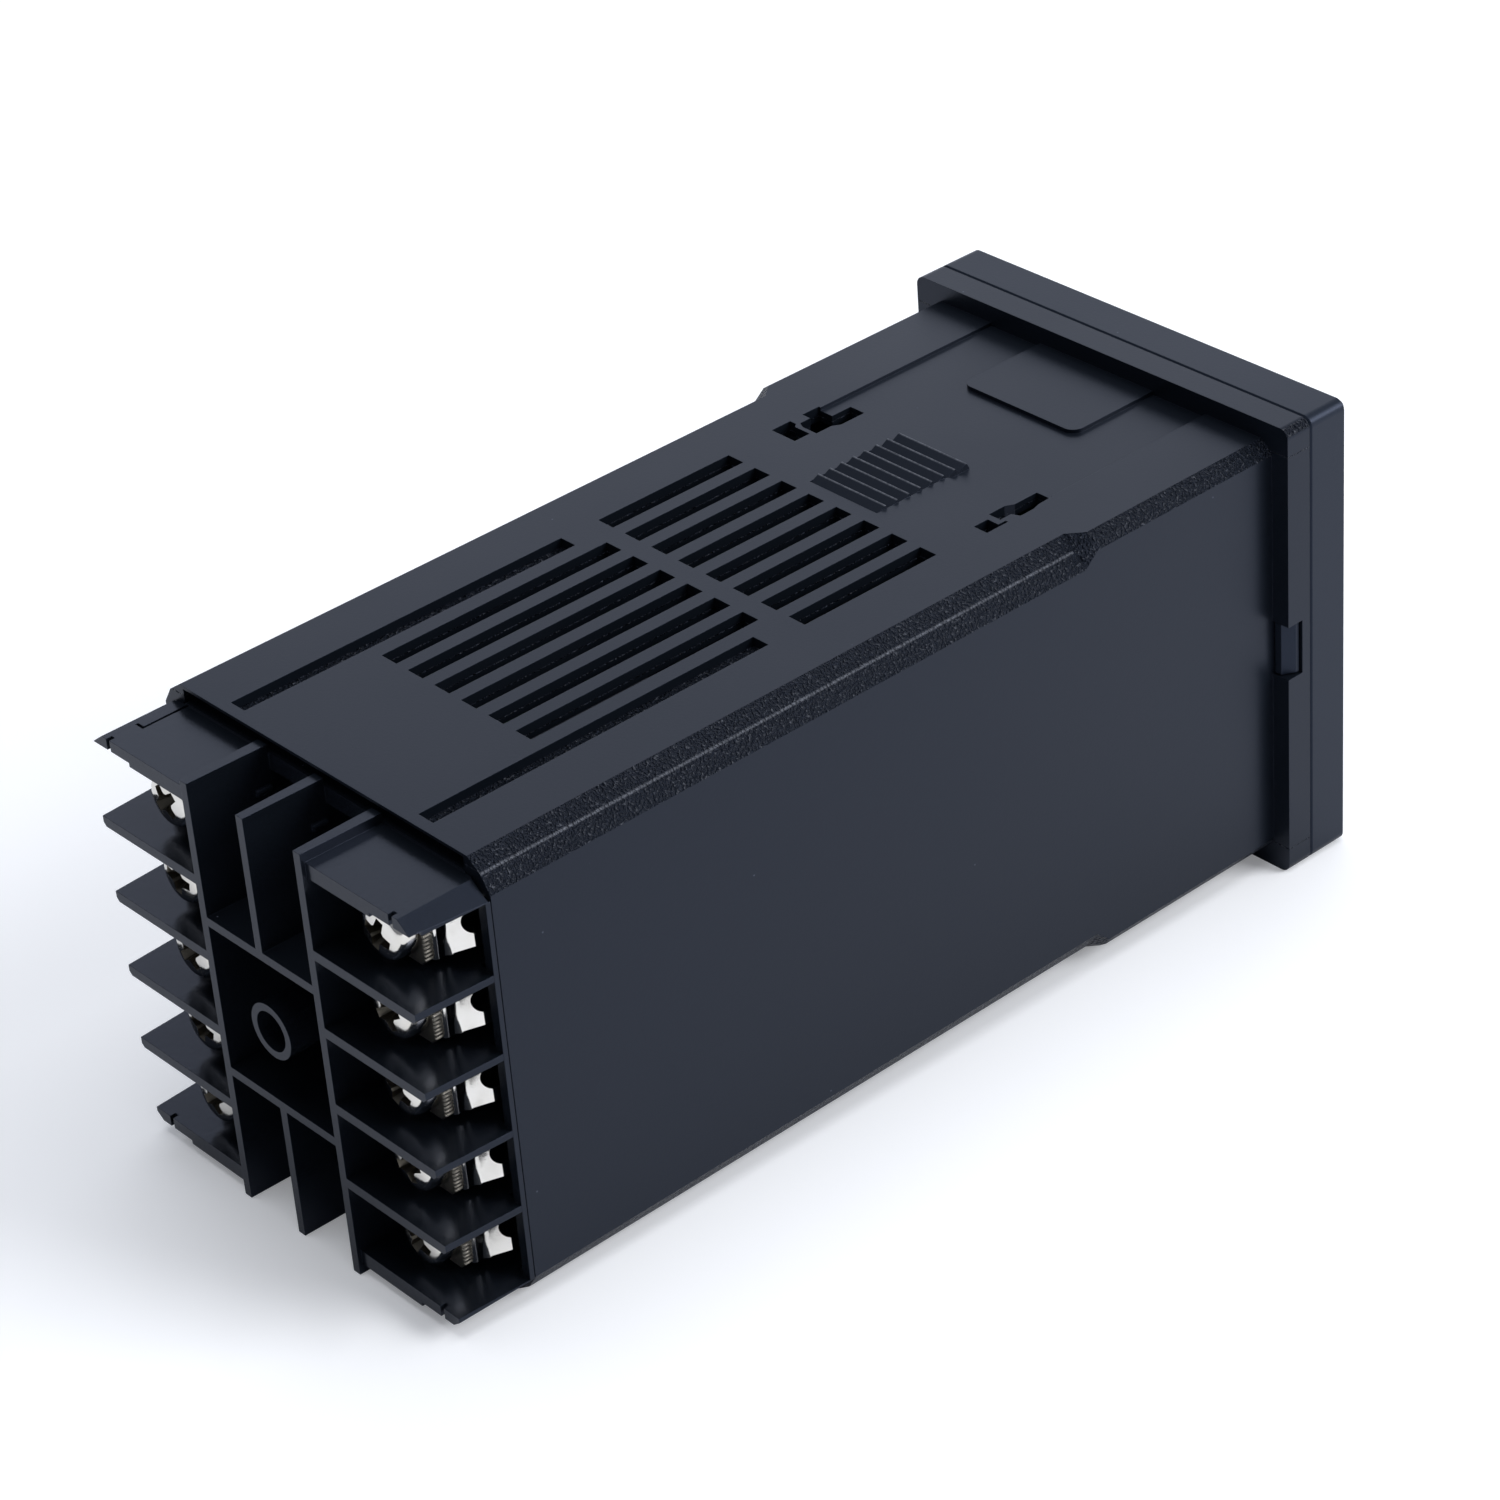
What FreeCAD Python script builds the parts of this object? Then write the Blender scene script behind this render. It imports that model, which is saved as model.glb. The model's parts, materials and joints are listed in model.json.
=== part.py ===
"""PID temperature controller for a 45 mm square panel cut-out.

A moulded case slides through the panel and carries a square flange, a front frame snaps
on to the flange, and a moulded block with ten screw terminals closes the rear.

All shapes are drawn about the case's axis: x to the side, z up, and y measured backwards
from the front face. The last step moves them so that the origin lies under the middle of
the length, on the level of the front frame's lower edge.
"""
import FreeCAD
import Part
import math
import os

from FreeCAD import Vector

# Front frame and flange
BEZEL = 48.0
BEZEL_DEPTH = 5.0
BEZEL_FACE = 2.0
BEZEL_WALL = 2.4
FLANGE_DEPTH = 3.1
EDGE_RADIUS = 1.0
CORNER_STEPS = 3
SEAM_CHAMFER = 0.18
FACE_CHAMFER = 0.5

# Case tube
FLANGE_LIP_SIDE = 1.95
FLANGE_LIP_TOP = 1.8
BODY_LENGTH = 91.9
WALL = 1.5
INNER_CORNER = 1.6
FACET_TOP = 2.6
FACET_SIDE = 2.72
RIDGE_IN = 1.05
RIDGE_DOWN = 1.09
FRONT_FACET_RATIO = 0.5
RAMP_START = 30.6
RAMP_LENGTH = 1.6
MOUTH_LAND = 0.3
MOUTH_DEPTH = 1.5

# How far a cutting shape reaches past a face, and an added one into what carries it
OVERCUT = 1.0
ROOT = 0.5

# Vents in the case's roof and floor
VENT_PITCH = 3.6
VENT_WIDTH = 2.05
FRONT_VENT_START = 42.1
FRONT_VENT_LENGTH = 15.7
FRONT_VENT_COUNT = 8
REAR_VENT_START = 59.9
REAR_VENT_END_GAP = 14.6
REAR_VENT_COUNT = 6

# Grooves beside the rear vents
GROOVE_X = 12.73
GROOVE_WIDTH = 1.95
GROOVE_DEPTH = 0.95
GROOVE_START = 62.1
GROOVE_END_GAP = 1.2

# Ratchet that the panel bracket climbs
RATCHET_WIDTH = 8.8
RATCHET_START = 29.0
TOOTH_PITCH = 1.44
TOOTH_COUNT = 8
TOOTH_CREST = 0.35
TOOTH_VALLEY = 0.25
TOOTH_RAMP = 1.12

# Channel and pad in front of the ratchet
CHANNEL_WIDTH = 27.8
CHANNEL_DEPTH = 0.35
CHANNEL_END = 32.1
CHANNEL_RAMP = 1.2
PAD_WIDTH = 14.6
PAD_END = 18.5
PAD_RISE = 0.4
PAD_RADIUS = 1.2

# Stepped slots beside the ratchet, as corners x, y: the long one of each pair is nearer the front
LEFT_LONG_SLOT = [
    (10.5, 28.0), (12.35, 28.0), (12.35, 30.35), (14.15, 30.35), (14.15, 32.4),
    (13.1, 32.4), (13.1, 33.65), (12.35, 34.0), (10.5, 34.0),
]
LEFT_SHORT_SLOT = [(10.95, 34.45), (12.9, 34.45), (13.3, 34.0), (14.1, 34.0), (14.1, 36.3), (10.95, 36.3)]
RIGHT_LONG_SLOT = [
    (-12.05, 28.1), (-14.0, 28.1), (-14.1, 29.9), (-14.35, 30.8), (-14.35, 32.4),
    (-13.5, 32.75), (-13.5, 34.1), (-12.05, 34.1),
]
RIGHT_SHORT_SLOT = [
    (-12.6, 34.8), (-13.95, 34.8), (-13.95, 33.9), (-14.27, 33.9), (-14.27, 36.5), (-12.6, 36.5),
]

# Snap windows and the frame's snap arms
SNAP_Z = 0.5
SNAP_HEIGHT = 5.7
SNAP_SLOT_DEPTH = 1.0
SNAP_WINDOW_LENGTH = 1.9
SNAP_ARM_THICK = 0.75
SNAP_CLEARANCE = 0.15
SNAP_HOOK_LAND = 0.4

# Rails that hold the long boards
RAIL_THICK = 0.9
RAIL_HEIGHT = 1.5
RAIL_START = 18.0
RAIL_END_GAP = 4.0

# Terminal block
BLOCK_REACH = 8.35
BLOCK_CLEARANCE = 0.1
BLOCK_SKIRT_LENGTH = 12.0
BLOCK_SKIRT_WALL = 1.2
BLOCK_FLOOR_THICK = 1.6
BAY_DEPTH = 3.0
STACK_Z = -0.3
BAYS_PER_SIDE = 5
STACK_MARGIN = 1.35
STACK_SPARE = 0.25
PLATE_THICK = 1.5
PLATE_REAR_GAP = 0.4
FIN_THICK = 1.0
FIN_TAPER = 0.5
FIN_CHAMFER = 0.35
SPINE_THICK_FRONT = 1.35
SPINE_THICK_REAR = 0.9
MID_SPINE_THICK_FRONT = 1.25
SPINE_INSET = 0.5
RIM_DEPTH = 0.55
RIM_WIDTH = 1.05
RIM_INSET = 0.05
SKIRT_SIDE_GAP = 1.4
CROSS_WALL_THICK = 0.9
PLATE_SLOPE_WIDTH = 1.9
PLATE_SLOPE_DROP = 1.45
RELIEF_WIDTH = 5.65
RELIEF_DEPTH = 0.4
RELIEF_LENGTH = 1.2
NOTCH_INSET = 3.05
NOTCH_WIDTH = 0.5
NOTCH_DEPTH = 0.6
LINE_GROOVE_INSET = 3.5
LINE_GROOVE_WIDTH = 0.3
LINE_GROOVE_DEPTH = 0.25
LINE_GROOVE_LENGTH = 4.9
LINE_GROOVE_HOOK = 0.95
RIB_LENGTH = 1.5
RIB_RADIUS = 0.35
RIB_DROP = 4.1
RIB_SETBACK = 0.3

# Boss for a rear cover
BOSS_RADIUS = 2.7
BOSS_BORE_RADIUS = 1.95
BOSS_BORE_DEPTH = 8.0

# Terminals
TERMINAL_TO_SPINE = 6.75
SEAT_Y = 3.0
SEAT_THICK = 0.8
SEAT_INSET = 0.25
SEAT_INNER_REACH = 3.6
TAIL_SIDE_GAP = 0.45
LEG_OFFSET = 3.2
LEG_FLARE = 1.1
LEG_LENGTH = 4.8
LEG_EDGE = 1.0
LEG_EDGE_THICK = 0.2
LEG_HOLE_RADIUS = 0.95
LEG_HOLE_BACK = 3.6
TAIL_WIDTH = 3.0
TAIL_LENGTH = 6.0
TAIL_CLEARANCE = 0.1
PEDESTAL_INSET = 0.1
PEDESTAL_WEB_WIDTH = 2.7
PEDESTAL_WEB_DROP = 0.8
SCREW_WAY_CLEARANCE = 0.25
SCREW_WAY_SPARE = 0.5
WASHER_SIDE_CLEARANCE = 0.375
WASHER_THICK = 0.9
WASHER_CORNER = 0.6
SERRATION_COUNT = 5
SERRATION_PITCH = 0.98
SERRATION_WIDTH = 0.6
SERRATION_DEPTH = 0.18
SCREW_RADIUS = 1.5
SCREW_CLEARANCE = 0.08
SCREW_LENGTH = 6.6
HEAD_SIDE_CLEARANCE = 0.725
HEAD_HEIGHT = 2.4
HEAD_CROWN = 0.5
HEAD_SIDES = 24
SMALL_SIDES = 16
RECESS_WIDTH = 1.0
RECESS_SPAN = 3.2
RECESS_FLOOR_WIDTH = 0.78
RECESS_FLOOR_SPAN = 1.7
RECESS_DEPTH = 1.3

# Display window and keys
WINDOW_MARGIN = 5.0
WINDOW_HEIGHT = 23.6
WINDOW_RADIUS = 1.0
WINDOW_RECESS = 0.5
WINDOW_LIP = 1.2
WINDOW_LIP_THICK = 0.9
WINDOW_CLEARANCE = 0.1
KEY_NAMES = ["set", "shift", "down", "up"]
KEY_PITCH = 9.4
KEY_WIDTH = 7.2
KEY_HEIGHT = 5.2
KEY_DROP = 8.6
KEY_RADIUS = 0.8
KEY_INSET = 0.25
KEY_CLEARANCE = 0.15
KEY_LIP = 0.7
KEY_LIP_THICK = 0.8
KEY_CHAMFER = 0.3
KEY_STEM_WIDTH = 2.8
KEY_TRAVEL = 0.3

# Display board and what it carries
BOARD_THICK = 1.6
DISPLAY_BOARD_Y = 9.6
DISPLAY_BOARD_GAP = 1.15
DISPLAY_BOARD_CORNER = 2.6
DISPLAY_GAP = 0.2
UPPER_DISPLAY_RISE = 5.2
UPPER_DISPLAY_HEIGHT = 12.4
LOWER_DISPLAY_DROP = 6.3
LOWER_DISPLAY_HEIGHT = 9.0
DISPLAY_WIDTH = 31.6
LAMP_INSET = 1.6
LAMP_SIZE = 1.6
LAMP_HEIGHT = 2.0
LAMP_COUNT = 4
LAMP_PITCH = 5.2
SWITCH_SIZE = 6.0
SWITCH_HEIGHT = 3.5
PLUNGER_WIDTH = 3.0
PLUNGER_RISE = 0.9
PLUNGER_CLEARANCE = 0.1
PLUNGER_HOLD = 0.6

# Long boards
LONG_BOARD_EDGE_GAP = 0.9
LONG_BOARD_FRONT_GAP = 0.2
LONG_BOARD_REAR_GAP = 0.3
LONG_BOARD_TONGUE_GAP = 0.5
LONG_BOARD_TONGUE_INSET = 1.3
RAIL_CLEARANCE = 0.1

# Transformer
CORE_LENGTH = 28.0
CORE_HEIGHT = 24.0
CORE_DEPTH = 12.0
CORE_LIMB = 4.2
CORE_WINDOW = 5.4
CORE_Y = 32.0
BOBBIN_OVERHANG = 2.6
BOBBIN_CLEARANCE = 0.2
BOBBIN_FLANGE = 0.9
COIL_RADIUS = 1.2

# Relays, capacitors and chip
RELAY_LENGTH = 19.0
RELAY_WIDTH = 15.4
RELAY_HEIGHT = 15.2
RELAY_GAP = 5.5
RELAY_Z = 8.6
RELAY_EDGE = 0.5
BIG_CAN_RADIUS = 5.0
BIG_CAN_LENGTH = 16.0
BIG_CAN_GAP = 5.0
BIG_CAN_Z = -9.0
SMALL_CAN_RADIUS = 2.5
SMALL_CAN_LENGTH = 11.0
SMALL_CAN_COUNT = 3
SMALL_CAN_PITCH = 8.0
SMALL_CAN_Y = 60.0
SMALL_CAN_Z = 10.0
CHIP_SIZE = 14.0
CHIP_THICK = 1.4
CHIP_Y = 34.0
HEADER_LENGTH = 25.4
HEADER_DEPTH = 2.5
HEADER_PIN = 0.64
HEADER_PIN_PITCH = 5.08
HEADER_PIN_COUNT = 5
HEADER_PIN_REACH = 1.2

# Planes that several pieces share, all measured from the front face
BODY_WIDTH = BEZEL - 2 * FLANGE_LIP_SIDE
BODY_HEIGHT = BEZEL - 2 * FLANGE_LIP_TOP
FLANGE_START = BEZEL_DEPTH
FLANGE_END = BEZEL_DEPTH + FLANGE_DEPTH
CASE_END = FLANGE_END + BODY_LENGTH
OVERALL_LENGTH = CASE_END + BLOCK_REACH
HALF_WIDTH = BODY_WIDTH / 2
HALF_HEIGHT = BODY_HEIGHT / 2
CAVITY_X = HALF_WIDTH - WALL
CAVITY_Z = HALF_HEIGHT - WALL
BAY_FLOOR = CASE_END - BAY_DEPTH
BLOCK_BACK = BAY_FLOOR - BLOCK_FLOOR_THICK
SKIRT_START = CASE_END - BLOCK_SKIRT_LENGTH
SKIRT_X = CAVITY_X - BLOCK_CLEARANCE
SKIRT_Z = CAVITY_Z - BLOCK_CLEARANCE
POCKET_X = SKIRT_X - BLOCK_SKIRT_WALL
PLATE_END = OVERALL_LENGTH - PLATE_REAR_GAP
SEAT_FACE = CASE_END + SEAT_Y
WASHER_FACE = SEAT_FACE + WASHER_THICK
TAIL_X = POCKET_X - TAIL_SIDE_GAP
LEG_X = TAIL_X - LEG_FLARE
TERMINAL_X = LEG_X - LEG_OFFSET
SPINE_X = TERMINAL_X - TERMINAL_TO_SPINE
BAY_HALF_STACK = SKIRT_Z - STACK_MARGIN
BAY_PITCH = (2 * BAY_HALF_STACK + FIN_THICK - STACK_SPARE) / BAYS_PER_SIDE
BAY_CLEAR = BAY_PITCH - FIN_THICK
WASHER_SIZE = BAY_CLEAR - 2 * WASHER_SIDE_CLEARANCE
HEAD_RADIUS = BAY_CLEAR / 2 - HEAD_SIDE_CLEARANCE
SEAT_HALF = WASHER_SIZE / 2 - SEAT_INSET
WINDOW_WIDTH = BEZEL - 2 * WINDOW_MARGIN
WINDOW_Z = BEZEL / 2 - WINDOW_MARGIN - WINDOW_HEIGHT / 2
KEY_Z = WINDOW_Z - WINDOW_HEIGHT / 2 - KEY_DROP
LONG_BOARD_X = TAIL_X - SEAT_THICK
BIG_CAN_Y = CORE_Y + CORE_LENGTH / 2 + BIG_CAN_GAP + BIG_CAN_RADIUS
RELAY_Y = BIG_CAN_Y + BIG_CAN_RADIUS + RELAY_GAP + RELAY_LENGTH / 2
DISPLAY_BOARD_BACK = DISPLAY_BOARD_Y + BOARD_THICK
LONG_BOARD_START = DISPLAY_BOARD_BACK + LONG_BOARD_FRONT_GAP
LONG_BOARD_END = BLOCK_BACK - LONG_BOARD_REAR_GAP
LONG_BOARD_INNER = LONG_BOARD_X - BOARD_THICK


def along(axis, u, v, w):
    """Point with w on the axis and u, v on the other two, in x, y, z order."""
    if axis == "x":
        return Vector(w, u, v)
    if axis == "y":
        return Vector(u, w, v)
    return Vector(u, v, w)


def box(x0, x1, y0, y1, z0, z1):
    """Block between two corners, given as pairs for each axis."""
    return Part.makeBox(x1 - x0, y1 - y0, z1 - z0, Vector(x0, y0, z0))


def prism(outline, axis, start, end):
    """Closed outline of points across an axis, drawn out from start to end along it."""
    corners = [along(axis, u, v, start) for u, v in outline]
    face = Part.Face(Part.makePolygon(corners + corners[:1]))
    return face.extrude(along(axis, 0, 0, end - start))


def rod(axis, u, v, start, end, radius):
    """Round bar along an axis through the point u, v."""
    return Part.makeCylinder(radius, end - start, along(axis, u, v, start), along(axis, 0, 0, 1))


def square_bar(cx, cz, width, y0, y1):
    """Square bar along y about a point."""
    half = width / 2
    return box(cx - half, cx + half, y0, y1, cz - half, cz + half)


def ring(u, v, radius, sides):
    """Many-sided outline around a circle, for round things that repeat."""
    corner = radius / math.cos(math.pi / sides)
    turns = [2 * math.pi * i / sides for i in range(sides)]
    return [(u + corner * math.cos(t), v + corner * math.sin(t)) for t in turns]


def rounded_outline(cx, cz, width, height, radius):
    """Rectangle about a point with its corners rounded in a few straight steps."""
    radius = min(radius, width / 2.1, height / 2.1)
    outline = []
    for i, (side, level) in enumerate(((1, 1), (-1, 1), (-1, -1), (1, -1))):
        x = cx + side * (width / 2 - radius)
        z = cz + level * (height / 2 - radius)
        for step in range(CORNER_STEPS + 1):
            turn = (i + step / CORNER_STEPS) * math.pi / 2
            outline.append((x + radius * math.cos(turn), z + radius * math.sin(turn)))
    return outline


def mirror_x(shape):
    return shape.mirror(Vector(0, 0, 0), Vector(1, 0, 0))


def mirror_z(shape):
    return shape.mirror(Vector(0, 0, 0), Vector(0, 0, 1))


def both_sides(shape):
    return [shape, mirror_x(shape)]


def roof_and_floor(shape):
    return [shape, mirror_z(shape)]


def fuse(shapes):
    """One solid out of touching or overlapping shapes."""
    shapes = list(shapes)
    return shapes[0].multiFuse(shapes[1:]).removeSplitter()


def cut(shape, tools):
    return shape.cut(list(tools))


def body_outline(ratio):
    """Section of the case: each corner has two facets that meet in a ridge."""
    quarter = [
        (HALF_WIDTH - FACET_TOP * ratio, HALF_HEIGHT),
        (HALF_WIDTH - RIDGE_IN * ratio, HALF_HEIGHT - RIDGE_DOWN * ratio),
        (HALF_WIDTH, HALF_HEIGHT - FACET_SIDE * ratio),
    ]
    outline = []
    for side, level, step in ((1, 1, 1), (1, -1, -1), (-1, -1, 1), (-1, 1, -1)):
        outline += [(side * x, level * z) for x, z in quarter[::step]]
    return outline


def cut_corner_outline(half_x, half_z, corner):
    """Rectangle about the axis with its corners cut at 45 degrees."""
    quarter = [(half_x - corner, half_z), (half_x, half_z - corner)]
    outline = []
    for side, level, step in ((1, 1, 1), (1, -1, -1), (-1, -1, 1), (-1, 1, -1)):
        outline += [(side * x, level * z) for x, z in quarter[::step]]
    return outline


def ramp_between(outline_a, outline_b, y0, y1):
    """Body that runs straight from one section to another with as many corners."""
    wires = []
    for outline, y in ((outline_a, y0), (outline_b, y1)):
        corners = [Vector(x, y, z) for x, z in outline]
        wires.append(Part.makePolygon(corners + corners[:1]))
    return Part.makeLoft(wires, True, True)


def square_frame(y0, y1):
    """Outer block of the front frame or flange, with its four long edges rounded."""
    half = BEZEL / 2
    block = box(-half, half, y0, y1, -half, half)
    long_edges = [e for e in block.Edges if abs(e.tangentAt(e.FirstParameter).y) > 0.99]
    return block.makeFillet(EDGE_RADIUS, long_edges)


def chamfer_rim(shape, y, size):
    """Breaks the outer edges of a square frame that lie in the plane y."""
    rim = []
    for edge in shape.Edges:
        inside = all(abs(v.Point.y - y) < 1e-6 for v in edge.Vertexes)
        box_size = edge.BoundBox
        reach = max(abs(box_size.XMin), abs(box_size.XMax), abs(box_size.ZMin), abs(box_size.ZMax))
        if inside and reach > BEZEL / 2 - EDGE_RADIUS - 1e-6:
            rim.append(edge)
    return shape.makeChamfer(size, rim)


def centred_places(count, pitch):
    """Places of a row of equal things about the middle."""
    return [(i - (count - 1) / 2) * pitch for i in range(count)]


def vent_slots():
    """Two banks of slots through the roof, on one pitch."""
    banks = (
        (FRONT_VENT_START, FRONT_VENT_LENGTH, FRONT_VENT_COUNT),
        (REAR_VENT_START, CASE_END - REAR_VENT_END_GAP - REAR_VENT_START, REAR_VENT_COUNT),
    )
    for start, length, count in banks:
        for x in centred_places(count, VENT_PITCH):
            half = VENT_WIDTH / 2
            yield box(x - half, x + half, start, start + length, CAVITY_Z - OVERCUT, HALF_HEIGHT + OVERCUT)


def side_groove():
    """Straight groove on the +x side of the rear vents, closed at both ends."""
    half = GROOVE_WIDTH / 2
    return box(GROOVE_X - half, GROOVE_X + half, GROOVE_START, CASE_END - GROOVE_END_GAP,
               HALF_HEIGHT - GROOVE_DEPTH, HALF_HEIGHT + OVERCUT)


def stepped_slots():
    """The slots on both sides of the ratchet, cut through the roof."""
    outlines = (LEFT_LONG_SLOT, LEFT_SHORT_SLOT, RIGHT_LONG_SLOT, RIGHT_SHORT_SLOT)
    return [prism(outline, "z", CAVITY_Z - OVERCUT, HALF_HEIGHT + OVERCUT) for outline in outlines]


def ratchet_teeth():
    """Row of saw teeth: each climbs towards the front and drops steeply."""
    valley = HALF_HEIGHT - TOOTH_VALLEY
    crest = HALF_HEIGHT + TOOTH_CREST
    end = RATCHET_START + TOOTH_COUNT * TOOTH_PITCH
    outline = [(end, valley)]
    for i in range(TOOTH_COUNT):
        base = end - i * TOOTH_PITCH
        outline.append((base - TOOTH_RAMP, crest))
        outline.append((base - TOOTH_PITCH, valley))
    root = valley - ROOT
    outline += [(RATCHET_START, root), (end, root)]
    return prism(outline, "x", -RATCHET_WIDTH / 2, RATCHET_WIDTH / 2)


def ratchet_pocket():
    """Shallow pocket that the teeth stand in."""
    end = RATCHET_START + TOOTH_COUNT * TOOTH_PITCH
    half = RATCHET_WIDTH / 2
    return box(-half, half, RATCHET_START, end, HALF_HEIGHT - TOOTH_VALLEY, HALF_HEIGHT + OVERCUT)


def bracket_channel():
    """Shallow channel from the flange to a ramp before the ratchet."""
    floor = HALF_HEIGHT - CHANNEL_DEPTH
    side_view = [
        (FLANGE_END, HALF_HEIGHT + OVERCUT),
        (FLANGE_END, floor),
        (CHANNEL_END - CHANNEL_RAMP, floor),
        (CHANNEL_END, HALF_HEIGHT),
        (CHANNEL_END, HALF_HEIGHT + OVERCUT),
    ]
    return prism(side_view, "x", -CHANNEL_WIDTH / 2, CHANNEL_WIDTH / 2)


def raised_pad():
    """Flat pad on the channel's floor, with two rounded corners at its rear."""
    floor = HALF_HEIGHT - CHANNEL_DEPTH
    half = PAD_WIDTH / 2
    pad = box(-half, half, FLANGE_END - ROOT, PAD_END, floor - ROOT, floor + PAD_RISE)
    rear_edges = [
        e for e in pad.Edges
        if abs(e.tangentAt(e.FirstParameter).z) > 0.99 and e.BoundBox.YMin > PAD_END - 1e-3
    ]
    return pad.makeFillet(PAD_RADIUS, rear_edges)


def snap_slot():
    """Opening in the flange's side for the frame's snap arm, with the window that shows it."""
    low = SNAP_Z - SNAP_HEIGHT / 2
    high = SNAP_Z + SNAP_HEIGHT / 2
    rear = FLANGE_END + OVERCUT
    arm_way = box(HALF_WIDTH, HALF_WIDTH + SNAP_SLOT_DEPTH, FLANGE_START - OVERCUT, rear, low, high)
    window = box(HALF_WIDTH, BEZEL / 2 + OVERCUT, FLANGE_END - SNAP_WINDOW_LENGTH, rear, low, high)
    return arm_way.fuse(window)


def board_rails():
    """Pairs of ribs under the roof that hold the edge of a long board."""
    low = CAVITY_Z - RAIL_HEIGHT
    near = LONG_BOARD_INNER - RAIL_CLEARANCE
    far = LONG_BOARD_X + RAIL_CLEARANCE
    for x0, x1 in ((near - RAIL_THICK, near), (far, far + RAIL_THICK)):
        yield box(x0, x1, RAIL_START, SKIRT_START - RAIL_END_GAP, low, CAVITY_Z + ROOT)


def mouth_chamfer():
    """Slope that thins the roof at the rear edge and leaves a narrow land."""
    side_view = [
        (CASE_END - MOUTH_DEPTH, CAVITY_Z),
        (CASE_END, HALF_HEIGHT - MOUTH_LAND),
        (CASE_END + OVERCUT, HALF_HEIGHT - MOUTH_LAND),
        (CASE_END + OVERCUT, CAVITY_Z - OVERCUT),
        (CASE_END - MOUTH_DEPTH, CAVITY_Z - OVERCUT),
    ]
    half = CAVITY_X - INNER_CORNER
    return prism(side_view, "x", -half, half)


def make_case():
    """Tube with flange, vents, grooves, ratchets, slots, rails and snap windows."""
    small = body_outline(FRONT_FACET_RATIO)
    large = body_outline(1.0)
    ramp_end = RAMP_START + RAMP_LENGTH
    flange = chamfer_rim(square_frame(FLANGE_START, FLANGE_END), FLANGE_START, SEAM_CHAMFER)
    outside = [
        flange,
        prism(small, "y", FLANGE_END - ROOT, RAMP_START),
        ramp_between(small, large, RAMP_START, ramp_end),
        prism(large, "y", ramp_end, CASE_END),
    ]
    outside = fuse(outside)
    hollow = cut_corner_outline(CAVITY_X, CAVITY_Z, INNER_CORNER)
    cavity = prism(hollow, "y", FLANGE_START - OVERCUT, CASE_END + OVERCUT)
    removed = []
    for slot in list(vent_slots()) + stepped_slots():
        removed += roof_and_floor(slot)
    for piece in (ratchet_pocket(), bracket_channel(), mouth_chamfer()):
        removed += roof_and_floor(piece)
    for groove in both_sides(side_groove()):
        removed += roof_and_floor(groove)
    removed += both_sides(snap_slot())
    shell = cut(outside, [cavity])
    shell = cut(shell, removed)
    added = roof_and_floor(ratchet_teeth()) + roof_and_floor(raised_pad())
    for rail in board_rails():
        for half in both_sides(rail):
            added += roof_and_floor(half)
    return fuse([shell] + added)


def window_bar(grow, y0, y1):
    """Bar of the display window's outline, larger by grow on every side."""
    width = WINDOW_WIDTH + 2 * grow
    height = WINDOW_HEIGHT + 2 * grow
    return prism(rounded_outline(0, WINDOW_Z, width, height, WINDOW_RADIUS + grow), "y", y0, y1)


def key_outline(x, grow):
    """A key's outline, larger by grow on every side."""
    return rounded_outline(x, KEY_Z, KEY_WIDTH + 2 * grow, KEY_HEIGHT + 2 * grow, KEY_RADIUS + grow)


def snap_arm():
    """Arm from the frame's wall through the flange, with a hook in the flange's window."""
    half = SNAP_HEIGHT / 2 - SNAP_CLEARANCE
    low = SNAP_Z - half
    high = SNAP_Z + half
    inner = HALF_WIDTH + SNAP_CLEARANCE
    outer = inner + SNAP_ARM_THICK
    tip = FLANGE_END - SNAP_CLEARANCE
    hook_start = FLANGE_END - SNAP_WINDOW_LENGTH + SNAP_CLEARANCE
    hook_x = BEZEL / 2 - 2 * SNAP_CLEARANCE
    frame_wall = BEZEL / 2 - BEZEL_WALL
    plan = [
        (frame_wall, BEZEL_FACE),
        (outer, BEZEL_FACE),
        (outer, hook_start),
        (hook_x, hook_start),
        (hook_x, hook_start + SNAP_HOOK_LAND),
        (outer, tip),
        (inner, tip),
        (inner, BEZEL_DEPTH),
        (frame_wall, BEZEL_DEPTH),
    ]
    return prism(plan, "z", low, high)


def make_front_bezel():
    """Front frame with the window opening, four key openings and two snap arms."""
    frame = square_frame(0, BEZEL_DEPTH)
    front_edges = [e for e in frame.Edges if all(abs(v.Point.y) < 1e-6 for v in e.Vertexes)]
    frame = frame.makeChamfer(FACE_CHAMFER, front_edges)
    frame = chamfer_rim(frame, BEZEL_DEPTH, SEAM_CHAMFER)
    inner = BEZEL / 2 - BEZEL_WALL
    removed = [
        box(-inner, inner, BEZEL_FACE, BEZEL_DEPTH + OVERCUT, -inner, inner),
        window_bar(WINDOW_CLEARANCE, -OVERCUT, BEZEL_FACE + OVERCUT),
    ]
    for x in key_places():
        removed.append(prism(key_outline(x, KEY_CLEARANCE), "y", -OVERCUT, BEZEL_FACE + OVERCUT))
    frame = cut(frame, removed)
    return fuse([frame] + both_sides(snap_arm()))


def key_places():
    return centred_places(len(KEY_NAMES), KEY_PITCH)


def make_display_window():
    """Smoked window: a plate in the opening and a lip that seats behind the frame."""
    plate = window_bar(0, WINDOW_RECESS, BEZEL_FACE + WINDOW_LIP_THICK)
    half_width = WINDOW_WIDTH / 2 + WINDOW_LIP
    half_height = WINDOW_HEIGHT / 2 + WINDOW_LIP
    lip = box(-half_width, half_width, BEZEL_FACE, BEZEL_FACE + WINDOW_LIP_THICK,
              WINDOW_Z - half_height, WINDOW_Z + half_height)
    return fuse([plate, lip])


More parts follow.
